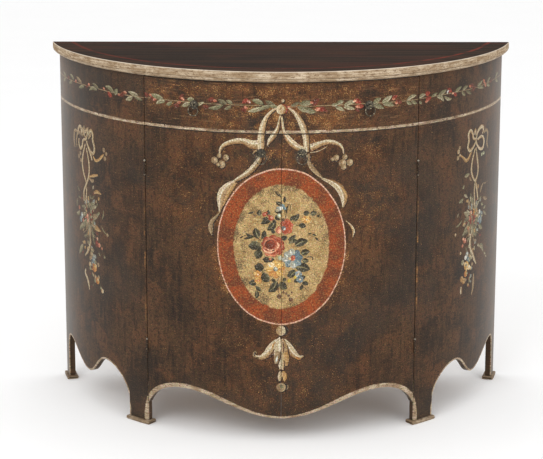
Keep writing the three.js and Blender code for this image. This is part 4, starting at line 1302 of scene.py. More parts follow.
# Ribbons: points, width at each, tone. Berries of the bow: place, radius.
BOW = [
    ([(-54, 738), (-71, 738), (-90, 745), (-107, 745), (-124, 741), (-137, 735), (-145, 727),
     (-149, 717), (-148, 708)], [22, 21, 14, 13, 11, 9, 7, 5, 2], "cream_down"),
    ([(68, 730), (84, 736), (98, 741), (112, 743), (126, 741), (139, 735), (147, 725), (150, 712)],
     [18, 15, 12, 11, 10, 8, 5, 2], "cream_up"),
    ([(66, 719), (84, 721), (101, 728), (110, 734)], [1.6, 1.8, 1.6, 1.0], "cream"),
    ([(-49, 716), (-54, 700), (-66, 684), (-82, 668), (-100, 656), (-118, 645)], [10, 13, 14, 13,
     10, 4], "cream_down"),
    ([(65, 716), (64, 699), (71, 684), (84, 669), (97, 657)], [6, 8, 11, 10, 4], "dull_cream"),
    ([(-112, 646), (-126, 635), (-140, 621), (-147, 604), (-148, 586), (-150, 569)], [10, 19, 23,
     20, 13, 3], "cream_down"),
    ([(-108, 644), (-118, 632), (-128, 617), (-136, 600), (-141, 586)], [3, 8, 9, 6, 2], "ochre"),
    ([(-150, 569), (-160, 557), (-169, 547), (-173, 536), (-173, 524), (-170, 511)], [2, 6, 9, 12,
     11, 2], "dull_cream"),
    ([(96, 655), (111, 649), (127, 641), (141, 629), (149, 613), (152, 598), (150, 582)], [3, 9, 15,
     20, 18, 15, 4], "cream_down"),
    ([(141, 636), (153, 622), (158, 608), (156, 596)], [2, 6, 6, 2], "ochre"),
    ([(157, 548), (165, 541), (173, 531), (177, 520), (175, 507)], [1.5, 3, 6, 7, 2], "cream_up"),
    ([(-3, 808), (-6, 796), (-8, 784), (-12, 772), (-20, 759), (-28, 748), (-34, 735)], [3, 4, 6,
     10, 13, 11, 1], "cream_down"),
    ([(0, 806), (2, 788), (5, 770), (13, 756), (24, 743), (38, 732), (53, 726), (66, 722)], [4, 5,
     7, 13, 16, 15, 12, 4], "cream_up"),
    ([(-12, 825), (-26, 816), (-36, 804), (-43, 789), (-47, 772), (-49, 754), (-49, 733),
     (-49, 716)], [3, 6, 9, 12, 15, 16, 16, 11], "cream"),
    ([(14, 828), (26, 820), (37, 807), (46, 791), (53, 773), (57, 755), (59, 737), (61, 720)], [3,
     7, 11, 14, 15, 14, 13, 9], "cream"),
    ([(-57, 724), (-64, 721), (-69, 715)], [2, 5, 1], "dull_cream"),
]
BOW_BERRIES = [
    (-163, 696, 9), (-151, 708, 6), (-134, 704, 8), (-145, 687, 10), (-154, 686, 5), (122, 701, 5),
    (131, 704, 8), (153, 705, 7), (165, 691, 9), (147, 690, 10), (150, 680, 7),
]
SIDE_RIBBONS = [
    ([(-565, 657), (-553, 648), (-538, 652), (-524, 662), (-514, 670)], [4, 6, 6, 6, 3], "ochre"),
    ([(-650, 703), (-667, 707), (-680, 702), (-684, 682), (-678, 662)], [6, 7, 8, 8, 5],
     "dull_cream"),
    ([(-607, 682), (-621, 655), (-628, 628), (-620, 603), (-606, 580), (-606, 550), (-607, 528)],
     [4, 6, 7, 6, 5, 5, 4], "cream"),
    ([(-601, 672), (-589, 642), (-587, 618), (-593, 596), (-609, 573), (-621, 556), (-622, 530)],
     [4, 6, 6, 6, 6, 6, 4], "cream"),
    ([(-590, 600), (-565, 607), (-543, 612)], [3, 7, 4], "ochre"),
    ([(-590, 597), (-573, 592), (-564, 596)], [3, 8, 4], "dull_cream"),
    ([(-603, 698), (-620, 708), (-626, 718), (-640, 722), (-651, 713), (-649, 698)], [5, 7, 7, 7, 7,
     5], "cream"),
    ([(-603, 694), (-620, 689), (-626, 673), (-638, 665), (-648, 674), (-648, 690)], [5, 6, 7, 7, 6,
     5], "cream"),
    ([(-601, 697), (-588, 713), (-573, 722), (-564, 713), (-565, 699), (-557, 682), (-559, 668),
     (-571, 663), (-585, 673), (-600, 691)], [5, 7, 7, 7, 7, 7, 7, 7, 7, 5], "cream"),
    ([(-617, 706), (-613, 722), (-606, 712), (-599, 722), (-592, 712)], [4, 6, 5, 6, 4], "cream"),
    ([(-623, 698), (-630, 712), (-633, 726)], [3, 8, 4], "cream"),
    ([(-612, 700), (-614, 714), (-613, 728)], [3, 7, 4], "cream"),
    ([(-598, 700), (-594, 714), (-590, 727)], [3, 7, 4], "cream"),
    ([(-590, 697), (-580, 708), (-572, 714)], [3, 8, 4], "dull_cream"),
    ([(-622, 700), (-640, 706), (-656, 700), (-664, 684), (-662, 664)], [4, 7, 7, 6, 4],
     "dull_cream"),
    ([(-600, 688), (-588, 676), (-577, 660), (-570, 646)], [4, 7, 7, 4], "cream"),
    ([(-590, 445), (-590, 425), (-602, 404), (-622, 386)], [5, 7, 7, 4], "cream"),
    ([(-584, 470), (-587, 450), (-590, 440)], [6, 6, 5], "dull_cream"),
    ([(-620, 350), (-624, 340), (-613, 329), (-605, 317), (-600, 300)], [5, 7, 8, 8, 3], "cream"),
    ([(602, 690), (584, 676), (566, 655), (551, 649), (537, 658), (522, 667)], [3, 6, 7, 8, 6, 3],
     "ochre"),
    ([(654, 706), (672, 710), (684, 698), (679, 675), (690, 660)], [6, 7, 8, 8, 4], "dull_cream"),
    ([(598, 672), (583, 640), (581, 617), (592, 597), (606, 585), (615, 565), (624, 535)], [4, 6, 7,
     6, 6, 7, 5], "cream"),
    ([(603, 675), (612, 648), (620, 622), (617, 602), (605, 586), (600, 565), (602, 545),
     (606, 520)], [4, 6, 7, 6, 6, 6, 6, 5], "cream"),
    ([(602, 696), (586, 701), (581, 714), (570, 723), (560, 714), (563, 698), (558, 683),
     (569, 672), (586, 678), (600, 690)], [5, 6, 7, 7, 7, 6, 7, 7, 6, 5], "cream"),
    ([(603, 697), (609, 712), (622, 721), (637, 724), (650, 717), (643, 704)], [5, 6, 8, 9, 7, 4],
     "cream"),
    ([(603, 690), (612, 678), (630, 667), (648, 668), (653, 686), (638, 698), (611, 694)], [5, 6, 7,
     7, 8, 6, 5], "cream"),
    ([(590, 710), (597, 722), (602, 706)], [4, 7, 4], "cream"),
    ([(585, 452), (582, 430), (586, 413), (598, 398), (610, 380), (622, 366)], [8, 8, 7, 8, 8, 3],
     "cream"),
    ([(609, 342), (608, 320), (606, 304), (598, 288)], [6, 9, 8, 4], "dull_cream"),
    ([(541, 322), (540, 312), (541, 303)], [4, 8, 5], "cream"),
]
PENDANT_ARMS = [
    ([(-3, 257), (-13, 247), (-24, 233), (-35, 220), (-47, 212), (-58, 212), (-63, 216)], [12, 20,
     24, 18, 13, 7, 3], "cream_down"),
    ([(-57, 212), (-66, 213), (-68, 221), (-63, 227), (-59, 221)], [3, 3.5, 3, 3, 2], "dull_cream"),
    ([(5, 257), (14, 245), (23, 232), (33, 219), (43, 212), (55, 214)], [10, 16, 19, 16, 11, 2],
     "cream_up"),
    ([(-1, 259), (-1, 242), (0, 222), (1, 203), (0, 182)], [14, 32, 36, 22, 8], "cream"),
    ([(-7, 228), (-10, 212), (-12, 196)], [12, 15, 7], "dull_cream"),
    ([(10, 226), (13, 210), (13, 191)], [12, 14, 6], "ochre"),
    ([(3, 206), (4, 194), (4, 181)], [9, 8, 4], "cream"),
]

# Side bouquets. Leaves: foot, tip, width, tone. Dabs: place, radius, tone.
SIDE_LEAVES = [
    (-570, 560, -528, 565, 9, "ochre"), (-590, 545, -562, 556, 6, "sage_dark"),
    (-583, 533, -560, 538, 9, "sage"), (-586, 519, -562, 522, 7, "sage_dark"),
    (-668, 562, -648, 550, 6, "sage_dark"), (-660, 537, -640, 533, 6, "sage_dark"),
    (-668, 528, -672, 507, 9, "sage_dark"), (-652, 498, -677, 488, 10, "sage"),
    (-610, 508, -640, 514, 10, "sage_dark"), (-612, 471, -656, 453, 12, "sage"),
    (-598, 452, -630, 435, 9, "sage_dark"), (-571, 492, -543, 510, 13, "sage"),
    (-576, 478, -534, 468, 14, "ochre"), (-527, 500, -520, 526, 4, "sage"),
    (-530, 482, -504, 464, 4, "sage"), (-600, 462, -588, 446, 9, "ochre"),
    (-640, 420, -618, 418, 6, "sage"), (-634, 413, -664, 382, 14, "sage"),
    (-572, 452, -562, 426, 9, "sage_dark"), (-556, 450, -522, 405, 2, "sage_dark"),
    (-560, 350, -536, 312, 2, "sage_dark"), (-600, 415, -572, 412, 8, "sage"),
    (545, 563, 563, 552, 8, "sage_light"), (521, 545, 543, 552, 8, "sage"),
    (555, 545, 570, 543, 8, "ochre"), (577, 554, 594, 531, 10, "sage_light"),
    (545, 609, 570, 612, 10, "sage"), (571, 603, 583, 592, 7, "dull_cream"),
    (637, 649, 646, 654, 9, "mint"), (648, 652, 662, 651, 9, "mint"),
    (636, 550, 659, 574, 8, "dull_cream"), (660, 572, 682, 570, 4, "dull_cream"),
    (660, 535, 692, 524, 9, "dull_cream"), (630, 528, 646, 540, 8, "sage"),
    (645, 520, 662, 514, 8, "sage"), (568, 498, 546, 516, 12, "sage_light"),
    (569, 487, 545, 488, 12, "sage"), (570, 463, 539, 455, 9, "sage"),
    (664, 505, 680, 510, 8, "sage"), (664, 498, 688, 483, 9, "sage"),
    (519, 519, 516, 508, 4, "sage_light"), (537, 497, 508, 484, 5, "sage"),
    (601, 466, 618, 440, 20, "sage"), (632, 467, 660, 452, 12, "sage"),
    (592, 520, 612, 516, 12, "ochre"), (600, 438, 622, 420, 6, "sage_dark"),
    (628, 415, 640, 409, 8, "sage_light"), (639, 411, 672, 386, 13, "sage"),
    (678, 384, 692, 378, 6, "sage_light"), (689, 373, 700, 367, 5, "sage_light"),
    (604, 520, 590, 552, 5, "sage_dark"), (560, 424, 576, 400, 8, "sage_dark"),
]
SIDE_DABS = [
    (-590, 497, 12, "dull_red"), (-580, 486, 9, "dull_red"), (-605, 494, 8, "pink"),
    (-617, 492, 6, "pink"), (-600, 482, 6, "rose_pale"), (-638, 490, 8, "blue_grey"),
    (-646, 478, 8, "blue"), (-630, 478, 5, "pink"), (-655, 507, 5.5, "pink"),
    (-610, 476, 7, "dull_cream"), (-556, 432, 9, "dull_red"), (-552, 445, 4, "rose_pale"),
    (-543, 430, 6, "pink"), (-530, 424, 3.5, "pink"), (-519, 404, 4, "sage"),
    (-513, 681, 6, "dull_cream"), (-503, 673, 5, "dull_cream"), (-509, 660, 6, "dull_cream"),
    (-504, 464, 5, "dull_cream"), (-641, 652, 6, "dull_cream"), (-651, 643, 6, "dull_cream"),
    (-638, 635, 5, "dull_cream"), (-585, 398, 8, "dull_cream"), (-578, 410, 6, "sage"),
    (-592, 386, 6, "dull_cream"), (-575, 384, 10, "blue"), (-566, 395, 6, "blue_grey"),
    (-595, 369, 7, "cream"), (-585, 363, 7, "ochre"), (-570, 366, 12, "orange"),
    (-562, 372, 4, "straw"), (-550, 377, 6, "dull_cream"), (-567, 341, 7, "dull_cream"),
    (-549, 345, 5, "dull_cream"), (-555, 334, 9, "orange"), (-553, 337, 4, "straw"),
    (-532, 312, 6, "cream"), (-539, 318, 4, "sage"), (585, 492, 14, "red"),
    (583, 507, 7, "rose_pale"), (573, 495, 6, "pink"), (603, 506, 9, "orange"),
    (610, 491, 10, "red"), (596, 478, 9, "brown"), (604, 480, 7, "pink"), (572, 470, 6, "pink"),
    (632, 487, 16, "blue_grey"), (642, 478, 11, "blue"), (627, 476, 9, "blue"),
    (620, 496, 7, "straw"), (636, 501, 6, "white"), (650, 492, 8, "blue"), (512, 678, 6, "cream"),
    (517, 687, 5, "dull_cream"), (510, 662, 6, "dull_cream"), (519, 668, 4, "cream"),
    (507, 465, 4, "cream"), (553, 441, 7, "pink"), (545, 447, 4, "rose_pale"),
    (542, 430, 5, "pink"), (533, 412, 4, "cream"), (576, 453, 7, "dull_cream"),
    (567, 402, 8, "blue_grey"), (560, 395, 6, "white"), (573, 387, 8, "blue"),
    (590, 405, 8, "cream"), (583, 396, 6, "cream"), (545, 385, 7, "sage_light"),
    (565, 373, 12, "yellow"), (557, 378, 6, "straw"), (566, 364, 5, "straw"),
    (578, 366, 7, "straw"), (562, 352, 9, "orange"), (542, 342, 8, "ochre"), (552, 335, 8, "ochre"),
    (562, 336, 5, "dull_cream"), (597, 370, 5, "dull_cream"), (588, 362, 5, "straw"),
]

# Medallion bouquet. Stems: points, width. Leaves: foot, tip, width, tone, bend, vein's tone.
# Petals and dabs: place, radius, tone, light dab's tone. Strokes: points, width, tone.
BOUQUET_STEMS = [
    ([(-16, 625), (-8, 622), (-3, 615), (0, 600), (0, 570), (2, 545)], 1.8),
    ([(8, 599), (7, 580), (10, 560)], 1.2), ([(12, 570), (9, 558)], 1.2),
    ([(-51, 504), (-56, 511), (-62, 520)], 1.8),
    ([(-100, 509), (-88, 515), (-70, 514), (-55, 508), (-50, 503)], 1.3),
    ([(-50, 504), (-44, 515)], 1.4), ([(60, 517), (70, 516), (80, 511), (88, 505)], 1.0),
    ([(30, 555), (26, 548), (22, 540)], 1.2), ([(42, 545), (30, 545), (22, 541)], 1.2),
    ([(-36, 431), (-46, 427), (-50, 418)], 1.8), ([(-28, 404), (-20, 412), (-12, 420)], 1.4),
    ([(-12, 402), (-6, 412)], 1.6), ([(0, 402), (0, 415)], 1.6),
    ([(-5, 372), (-8, 384), (-3, 400)], 1.5), ([(0, 398), (6, 378), (13, 372), (20, 362)], 1.3),
    ([(45, 400), (55, 388), (66, 378)], 1.2), ([(48, 386), (52, 394)], 1.0),
    ([(-62, 366), (-62, 378), (-56, 388)], 1.3),
    ([(60, 463), (70, 464), (76, 461), (75, 455)], 3.0), ([(36, 440), (42, 434), (48, 432)], 1.2),
    ([(34, 425), (30, 432)], 1.4), ([(13, 593), (19, 594), (22, 587), (21, 578)], 1.6),
    ([(-52, 562), (-40, 556), (-25, 548)], 1.2), ([(34, 541), (46, 543)], 1.8),
]
BOUQUET_LEAVES = [
    (0, 613, -16, 625, 3.5, "leaf", 0.1), (7, 598, 8, 614, 6, "leaf"),
    (2, 594, -13, 600, 9, "leaf", 0.1, "vein"), (12, 571, 17, 592, 4.5, "leaf", 0.12),
    (0, 572, -17, 577, 9, "leaf", -0.1), (-2, 557, -13, 569, 6, "leaf", 0.35),
    (-54, 565, -52, 580, 10, "leaf_olive", 0.0, "vein"), (-33, 566, -30, 580, 9, "leaf_olive"),
    (-67, 573, -81, 570, 4, "leaf"), (-27, 552, -49, 545, 10, "leaf", -0.1),
    (-32, 560, -46, 556, 7, "leaf"), (-16, 550, -34, 530, 13, "leaf", 0.1, "vein"),
    (-13, 547, -22, 557, 7, "leaf"), (-15, 525, -25, 528, 8, "leaf"),
    (21, 554, 33, 567, 8, "leaf_olive"), (30, 552, 42, 571, 9, "leaf", 0.0, "vein"),
    (53, 569, 67, 574, 11, "leaf_olive"), (69, 569, 85, 572, 10, "leaf_olive", 0.0, "vein"),
    (42, 543, 59, 539, 11, "leaf"), (-55, 511, -63, 535, 15, "leaf", 0.05, "vein"),
    (-46, 509, -41, 530, 10, "leaf", -0.1), (-92, 514, -101, 508, 3, "leaf"),
    (-66, 513, -86, 521, 6, "leaf", 0.1), (-69, 513, -91, 507, 5, "leaf"),
    (-54, 498, -80, 490, 18, "leaf_olive", 0.1, "stem"),
    (-56, 482, -60, 459, 17, "leaf_olive", 0.1, "stem"), (-50, 490, -58, 478, 9, "leaf"),
    (16, 506, 34, 519, 9, "leaf_olive", -0.1), (24, 500, 37, 507, 8, "leaf_olive"),
    (33, 492, 64, 503, 16, "leaf", 0.1, "vein"), (73, 521, 62, 520, 3, "leaf"),
    (74, 520, 84, 515, 3.5, "leaf"), (81, 511, 90, 503, 4, "leaf"),
    (48, 470, 68, 477, 13, "leaf", 0.1, "vein"), (50, 457, 66, 452, 10, "leaf_olive", 0.0, "vein"),
    (34, 440, 69, 432, 19, "leaf", 0.05, "vein"), (32, 432, 14, 416, 14, "leaf", 0.1),
    (34, 428, 20, 412, 12, "leaf", -0.1, "vein"), (45, 410, 58, 416, 10, "leaf"),
    (42, 408, 30, 402, 9, "leaf"), (3, 405, 12, 411, 8, "leaf_olive"),
    (50, 399, 65, 394, 9, "leaf", 0.1), (52, 394, 45, 382, 7, "leaf"),
    (-28, 456, -45, 458, 12, "leaf"), (-17, 459, -31, 452, 9, "leaf"),
    (-42, 437, -65, 441, 18, "leaf", 0.05), (-30, 403, -43, 426, 17, "leaf_olive", 0.1, "stem"),
    (-59, 404, -79, 398, 13, "leaf", 0.1, "vein"), (-50, 379, -62, 391, 8, "leaf_olive"),
    (-60, 379, -61, 360, 9, "leaf", 0.1, "vein"), (-11, 404, -31, 377, 16, "leaf", 0.12, "vein"),
    (-1, 403, 13, 384, 15, "leaf_olive", -0.1), (-14, 404, -24, 408, 7, "leaf"),
    (-8, 462, 4, 457, 8, "leaf", 0.2), (0, 508, 14, 514, 11, "leaf"),
    (18, 497, 27, 507, 7, "sage_dark"), (-50, 496, -62, 493, 8, "sage_dark"),
]
ROSE_PETALS = [
    (3, 498, 8, "rose_dark"), (5, 486, 8, "rose_dark"), (-44, 497, 8, "rose"),
    (-37, 507, 10, "rose"), (-20, 511, 11, "rose"), (-5, 505, 11, "rose"), (0, 492, 11, "rose"),
    (-4, 478, 11, "rose"), (-18, 471, 10, "rose"), (-33, 473, 10, "rose_light"),
    (-41, 483, 9, "rose_light"), (-25, 491, 21, "rose"), (-28, 495, 14, "rose_dark"),
    (-27, 491, 8, "rose_dark"),
]
ROSE_STROKES = [
    ([(-43, 490), (-39, 503), (-27, 510), (-14, 506)], 4.5, "rose_light"),
    ([(-34, 498), (-26, 503), (-17, 499)], 3, "rose"),
    ([(-13, 504), (-7, 494), (-12, 483), (-20, 480)], 8, "rose_light"),
    ([(-10, 501), (-6, 492), (-11, 484)], 4, "rose_pale"),
    ([(-45, 485), (-36, 477), (-25, 476), (-13, 480)], 5, "rose_pale"),
    ([(-40, 475), (-29, 469), (-15, 469), (-5, 476)], 4, "rose_light"),
    ([(-36, 485), (-27, 481), (-18, 484)], 3.2, "rose_pale"),
    ([(-2, 502), (2, 492), (-1, 482)], 3.5, "rose_light"),
    ([(-38, 492), (-33, 486), (-26, 485)], 2.5, "rose_dark"),
    ([(-21, 482), (-17, 480)], 2.5, "stem"),
    ([(-22, 513), (-12, 513), (-6, 508)], 2.5, "rose_light"),
]
BUD_DABS = [
    (13, 550, 9, "poppy"), (20, 542, 8, "poppy"), (18, 530, 8, "poppy"), (8, 527, 7, "rose"),
    (4, 546, 7, "rose"), (13, 540, 8, "poppy"), (5, 556, 4, "brown"), (-6, 530, 8, "pink"),
    (-5, 528, 5, "rose_pale"),
]
BUD_STROKES = [
    ([(7, 554), (14, 556), (22, 552)], 3, "rose_light"),
    ([(24, 546), (25, 538), (22, 528)], 3, "rose_light"),
    ([(12, 522), (17, 524), (20, 530)], 3, "rose_light"),
    ([(10, 548), (14, 542), (16, 535)], 2.5, "rose_dark"),
    ([(-13, 533), (-7, 539), (1, 536)], 2.5, "rose"),
    ([(6, 551), (3, 545), (2, 540)], 2, "rose_light"),
]
BOUQUET_DABS = [
    (-7, 583, 6, "blue_grey"), (2, 589, 6, "blue"), (7, 584, 4, "blue"), (-1, 584, 4.5, "white"),
    (-11, 579, 4, "sage_light"), (-6, 566, 5, "mint", "white"), (-41, 569, 5.5, "poppy", "pink"),
    (-36, 573, 3, "rose"), (-25, 560, 6.5, "poppy", "rose_pale"), (-31, 566, 3, "rose"),
    (-63, 565, 2.5, "brown"), (77, 571, 2, "vein"), (89, 564, 3.5, "leaf"), (80, 420, 1.5, "stem"),
    (78, 433, 1.5, "stem"), (-3, 462, 5.5, "mint", "white"), (-27, 459, 3.5, "pink"),
    (19, 405, 4.5, "lemon"), (33, 414, 3.5, "lemon"), (-5, 366, 6, "brown"),
    (23, 358, 5.5, "brown"), (12, 373, 3, "brown"), (18, 368, 3.5, "brown"), (5, 376, 3, "brown"),
    (-8, 384, 3, "brown"), (25, 376, 2.5, "brown"), (-88, 540, 1.5, "stem"),
    (-90, 462, 1.6, "stem"), (-88, 440, 1.5, "stem"), (30, 470, 2, "blue"),
]

# Where a ribbon's dark line lies beside it, and how much fuller some strokes are than their tables
SHADOW, SIDE_SHADOW = (1.8, -1.6), (1.2, -1.0)
FULLER = 1.22
STEM_WIDE = 1.8


def garland():
    """The leaf garland over drawer and sides. Its berries are short leaves that point outwards."""
    for points in GARLAND_STEM:
        lay(points, [STEM_WIDE] * len(points), "dull_cream")
    for *ends, width, tone in GARLAND_LEAVES:
        leaf(*ends, width, tone, 0.06 * HAND.standard_normal(), "sage_dark")
    for s, z, radius, tone, *lit in GARLAND_BERRIES:
        tip = (s + radius * math.copysign(1.1, s), z + radius * 0.5 * HAND.standard_normal())
        foot = (2 * s - tip[0], 2 * z - tip[1])
        leaf(*foot, *tip, radius * 1.5, tone, 0.1 * HAND.standard_normal(), *lit)


def bow():
    """The ribbon bow over the medallion, with its berries and its knot."""
    for points, widths, tone in BOW:
        ribbon(points, widths, tone, None if max(widths) < 2 or tone == "ochre" else SHADOW)
    for s, z, radius in BOW_BERRIES:
        dot(s + SHADOW[0], z + SHADOW[1], radius, "shade")
        dot(s, z, radius * 0.94, "dull_cream", "cream")
    dot(2.2, 822, 13, "shade")
    lay([(0, 835), (9, 832), (13, 823), (9, 813)], [2, 4, 4, 2], "red")
    dots([(-1, 823, 12, "cream_up", "cream"), (3.5, 842.5, 4.5, "shade"), (2.3, 844, 4, "cream")])
    lay([(14, 829), (20, 831)], [4, 2], "pink")


def pendant():
    """The pendant painted under the medallion: knob, leaf arms, two drops and a ball."""
    dots([(2.5, 279.5, 14, "shade"), (-1, 280, 11.5, "cream", "cream", 1.12)])
    lay([(6, 294), (14, 288), (16.5, 279), (12, 270)], [1.5, 3, 3, 1.5], "shade")
    dot(-2, 264.5, 3, "shade")
    for points, widths, tone in PENDANT_ARMS:
        ribbon(points, widths, tone, SHADOW)
    strokes([
        ([(4, 252), (6, 238), (5, 222)], [2, 4, 1.5], "brown"),
        ([(-30, 214), (-22, 222), (-16, 234)], [3, 4, 2], "brown"),
        ([(-14, 252), (-20, 243), (-22, 236)], [3, 5, 2], "ochre"),
        ([(36, 213), (42, 209), (48, 208)], [5, 6, 2], "orange"),
        ([(-9, 216), (-11, 206), (-12, 200)], [2, 5, 3], "white"),
    ])
    dot(0, 177, 3, "shade")
    leaf(-1, 178, -4, 150, 11, "cream")
    leaf(5, 178, 8, 151, 11, "ochre", 0.1)
    dots([(-2.5, 150, 3, "shade"), (3.5, 135, 13, "shade"), (0, 136, 11.5, "dull_cream", "sage")])
    lay([(9, 146), (13, 138), (10, 127)], [2, 3, 2], "shade")
    lay([(16, 143), (17, 137), (14, 130)], [1, 2.5, 1], "dull_cream")


def sides():
    """The two side bouquets: placed leaves and dabs, fans, a seeded scatter, and their ribbons.

    Stems fan out of the root, and leaves stand round it along (cos a, 1.25 sin a). Small leaves
    are scattered about the heart, and dabs under it, by seeded draws.
    """
    for *ends, width, tone in SIDE_LEAVES:
        vein = "dull_cream" if width > 8 else None
        leaf(*ends, width, tone, 0.08 * HAND.standard_normal(), vein)
    for s, z, radius, tone in SIDE_DABS:
        dot(s, z, radius, tone, LIT.get(tone, tone) if radius > 6 else None)
    fan_tones = ("sage", "dull_cream", "sage_light", "sage_dark")
    tones = ("dull_cream", "sage", "sage_light", "sage_dark", "sage", "ochre", "dull_red",
             "blue_grey")
    root, heart = 592, 594
    for _, side in SIDES:
        for step in range(-4, 5):
            stem = [(side * root, 500), (side * (root + 1 - 3 * step), 465),
                    (side * (heart - 13 * step), 410 + 11 * abs(step))]
            lay(stem, [2.4, 2.0, 1.2], "dull_cream" if step % 2 else "sage_dark")
        middle = np.array([side * root, 496])
        for step, angle in enumerate(np.linspace(-0.4, 5.6, 13)):
            u = np.array([math.cos(angle), 1.25 * math.sin(angle)])
            foot, tip = middle + 17 * u, middle + (37 + 6 * (step % 3)) * u
            leaf(*foot, *tip, 11, fan_tones[step % 4], 0.12, "sage_dark")
        count = 46
        for across, up, pick in zip(HAND.standard_normal(count), HAND.standard_normal(count),
                                    HAND.integers(0, len(tones), count)):
            s, z = side * (heart + 27 * across), 492 + 46 * up
            away = math.atan2(z - 480, s - side * heart) + 0.5 * HAND.standard_normal()
            reach = 9 + 6 * HAND.random()
            tip = (s + reach * math.cos(away), z + reach * math.sin(away))
            leaf(s, z, *tip, 6 + 3 * HAND.random(), tones[pick], 0.1 * HAND.standard_normal(),
                 "dull_cream" if pick < 3 else None)
        count = 22
        for across, up, pick in zip(HAND.standard_normal(count), HAND.random(count),
                                    HAND.integers(0, len(tones), count)):
            s, z = side * (580 + 9 * across), 310 + 120 * up
            dot(s, z, 3 + 2 * HAND.random(), tones[pick])
    for points, widths, tone in SIDE_RIBBONS:
        ribbon(points, np.array(widths) * FULLER, tone, SIDE_SHADOW)
    dots([(-602, 697, 4, "cream"), (601, 694, 4, "cream")])


def rose():
    """The rose on the left of the medallion's bouquet, drawn in towards its middle."""
    for s, z, radius, tone in ROSE_PETALS:
        dot(-24 + (s + 24) * 0.88, 490 + (z - 490) * 0.92, radius * 0.88, tone)
    for points, width, tone in ROSE_STROKES:
        widths = [0.6, width, width, 0.6] if len(points) > 2 else [width, width]
        lay(points, widths, tone, 1.5)


def bouquet():
    """The medallion's bouquet: stems, leaves, rose, bud, six open flowers and small dabs."""
    for points, width in BOUQUET_STEMS:
        lay(points, [width * 0.7, width, width * 0.8], "stem")
    for s0, z0, s1, z1, width, *paint in BOUQUET_LEAVES:
        leaf(s0, z0, s1, z1, width * FULLER, *paint)
    rose()
    dots(BUD_DABS)
    strokes((points, [0.6, width, 0.6], tone, 1.5) for points, width, tone in BUD_STROKES)
    dots([(5, 535, 5.5, "slate"), (7, 533, 2.4, "white")])
    flower(27, 460, 25, ("blue_deep", "blue_deep", "blue_grey", "blue_grey", "blue_grey", "blue",
                         "blue_grey", "blue"), "pink", 0.15, 8, "rose_pale")
    dots([(20, 460, 3.2, "straw"), (28, 463, 5.5, "poppy", "pink")])
    flower(-14, 434, 23, ("orange", "yellow", "yellow", "straw", "yellow", "orange", "orange",
                          "yellow"), "slate", 0.1, 8, "straw")
    dot(-14, 435, 5, "blue_grey", "white")
    flower(60, 556, 12, ("orange", "yellow"), "straw", 0.2, 6, "white", 0.7)
    flower(-57, 420, 10, ("orange", "orange", "yellow"), "straw", 0.5, 5)
    flower(-56, 405, 9, ("orange", "yellow"), "pink", 0.9, 5, "rose_pale")
    flower(41, 421, 9, ("blue", "blue_grey"), "straw", 0.2, 5)
    flower(45, 408, 9, ("blue", "blue_deep"), "straw", 0.8, 5)
    dots(BOUQUET_DABS)


def stroke_material():
    """Ornament paint: its own colour, streaked, and worn through in specks to what is under it."""
    material, t = new_material("ornament_paint")
    v = t.uv()
    paint = t.stored("paint", "Color")
    on_field = t.stored("under")
    streak = t.noise(v, 260, 3, 0.65)
    dark = t.mix(1.0, paint, (0.6, 0.54, 0.46, 1), "MULTIPLY")
    colour = t.mix(t.between(streak, 0.4, 0.6), dark, paint)
    glints = t.between(t.noise(t.moved(v, (7, 3, 0)), 330, 3, 0.75), 0.55, 0.64)
    colour = t.mix(t.times(glints, 0.4), colour, t.mix(0.55, paint, (0.9, 0.84, 0.74, 1)))
    under = t.mix(on_field, srgb(66, 49, 36), srgb(178, 152, 104))
    worn_wide = t.between(t.noise(t.moved(v, (2, 5, 0)), 60, 4, 0.7), 0.45, 0.65)
    worn = t.times(
        t.between(t.noise(v, 240, 4, 0.75), 0.5, 0.6),
        t.plus(t.times(worn_wide, 0.4), 0.35), t.minus(1.0, t.times(on_field, 0.82)))
    thin = t.plus(t.times(t.stored("thin"), 0.16), 0.05)
    colour = t.mix(t.math("MAXIMUM", worn, thin), colour, under)
    colour = t.mix(1.0, colour, t.grit(v, 360, 1.8), "MULTIPLY")
    t.surface(colour, 0.55, t.bump(streak, 0.25, 0.0004), gloss=0.12, dust=DUST)
    return material


FILM_LOW, FILM_BASE, FILM_STEP = -0.3, 0.05, 0.012


def film(name, body, s_range, z_range):
    """The strokes inside one rectangle of the face, as closed films.

    Points outside it are drawn in to its edge. The top lies FILM_BASE over the face and FILM_STEP
    higher for each level, the bottom FILM_LOW under the face; walls stand on the open edges.
    """
    points, quads, colours = (np.concatenate(FILM[key]) for key in ("points", "faces", "colours"))
    low, high = np.array([s_range, z_range], float).T
    inside = ((points[:, :2] > low) & (points[:, :2] < high)).all(axis=1)
    used, quads = np.unique(quads[inside[quads].any(axis=1)], return_inverse=True)
    quads = quads.reshape(-1, 4)
    place = np.clip(points[used, :2], low, high)
    count = len(used)
    starts, ends = quads.ravel(), np.roll(quads, -1, axis=1).ravel()
    border = ~np.isin(starts * count + ends, ends * count + starts)
    a, b = starts[border], ends[border]
    walls = np.stack([b, a, a + count, b + count], axis=1)
    faces = np.concatenate([quads, quads[:, ::-1] + count, walls])
    top = on_face(*place.T, FILM_BASE + FILM_STEP * points[used, 2])
    bottom = on_face(*place.T, np.full(count, FILM_LOW))
    where = np.concatenate([place, place])
    from_middle = np.hypot(where[:, 0] / FIELD[0], (where[:, 1] - MEDALLION) / FIELD[1])
    values = {"under": from_middle < 1, "thin": np.abs(where[:, 0]) > SEAM}
    piece(name, np.concatenate([top, bottom]), faces, body, ORNAMENT, where, values,
          np.concatenate([colours[used]] * 2), sharp=60)


garland()
bow()
pendant()
sides()
bouquet()
ORNAMENT = stroke_material()

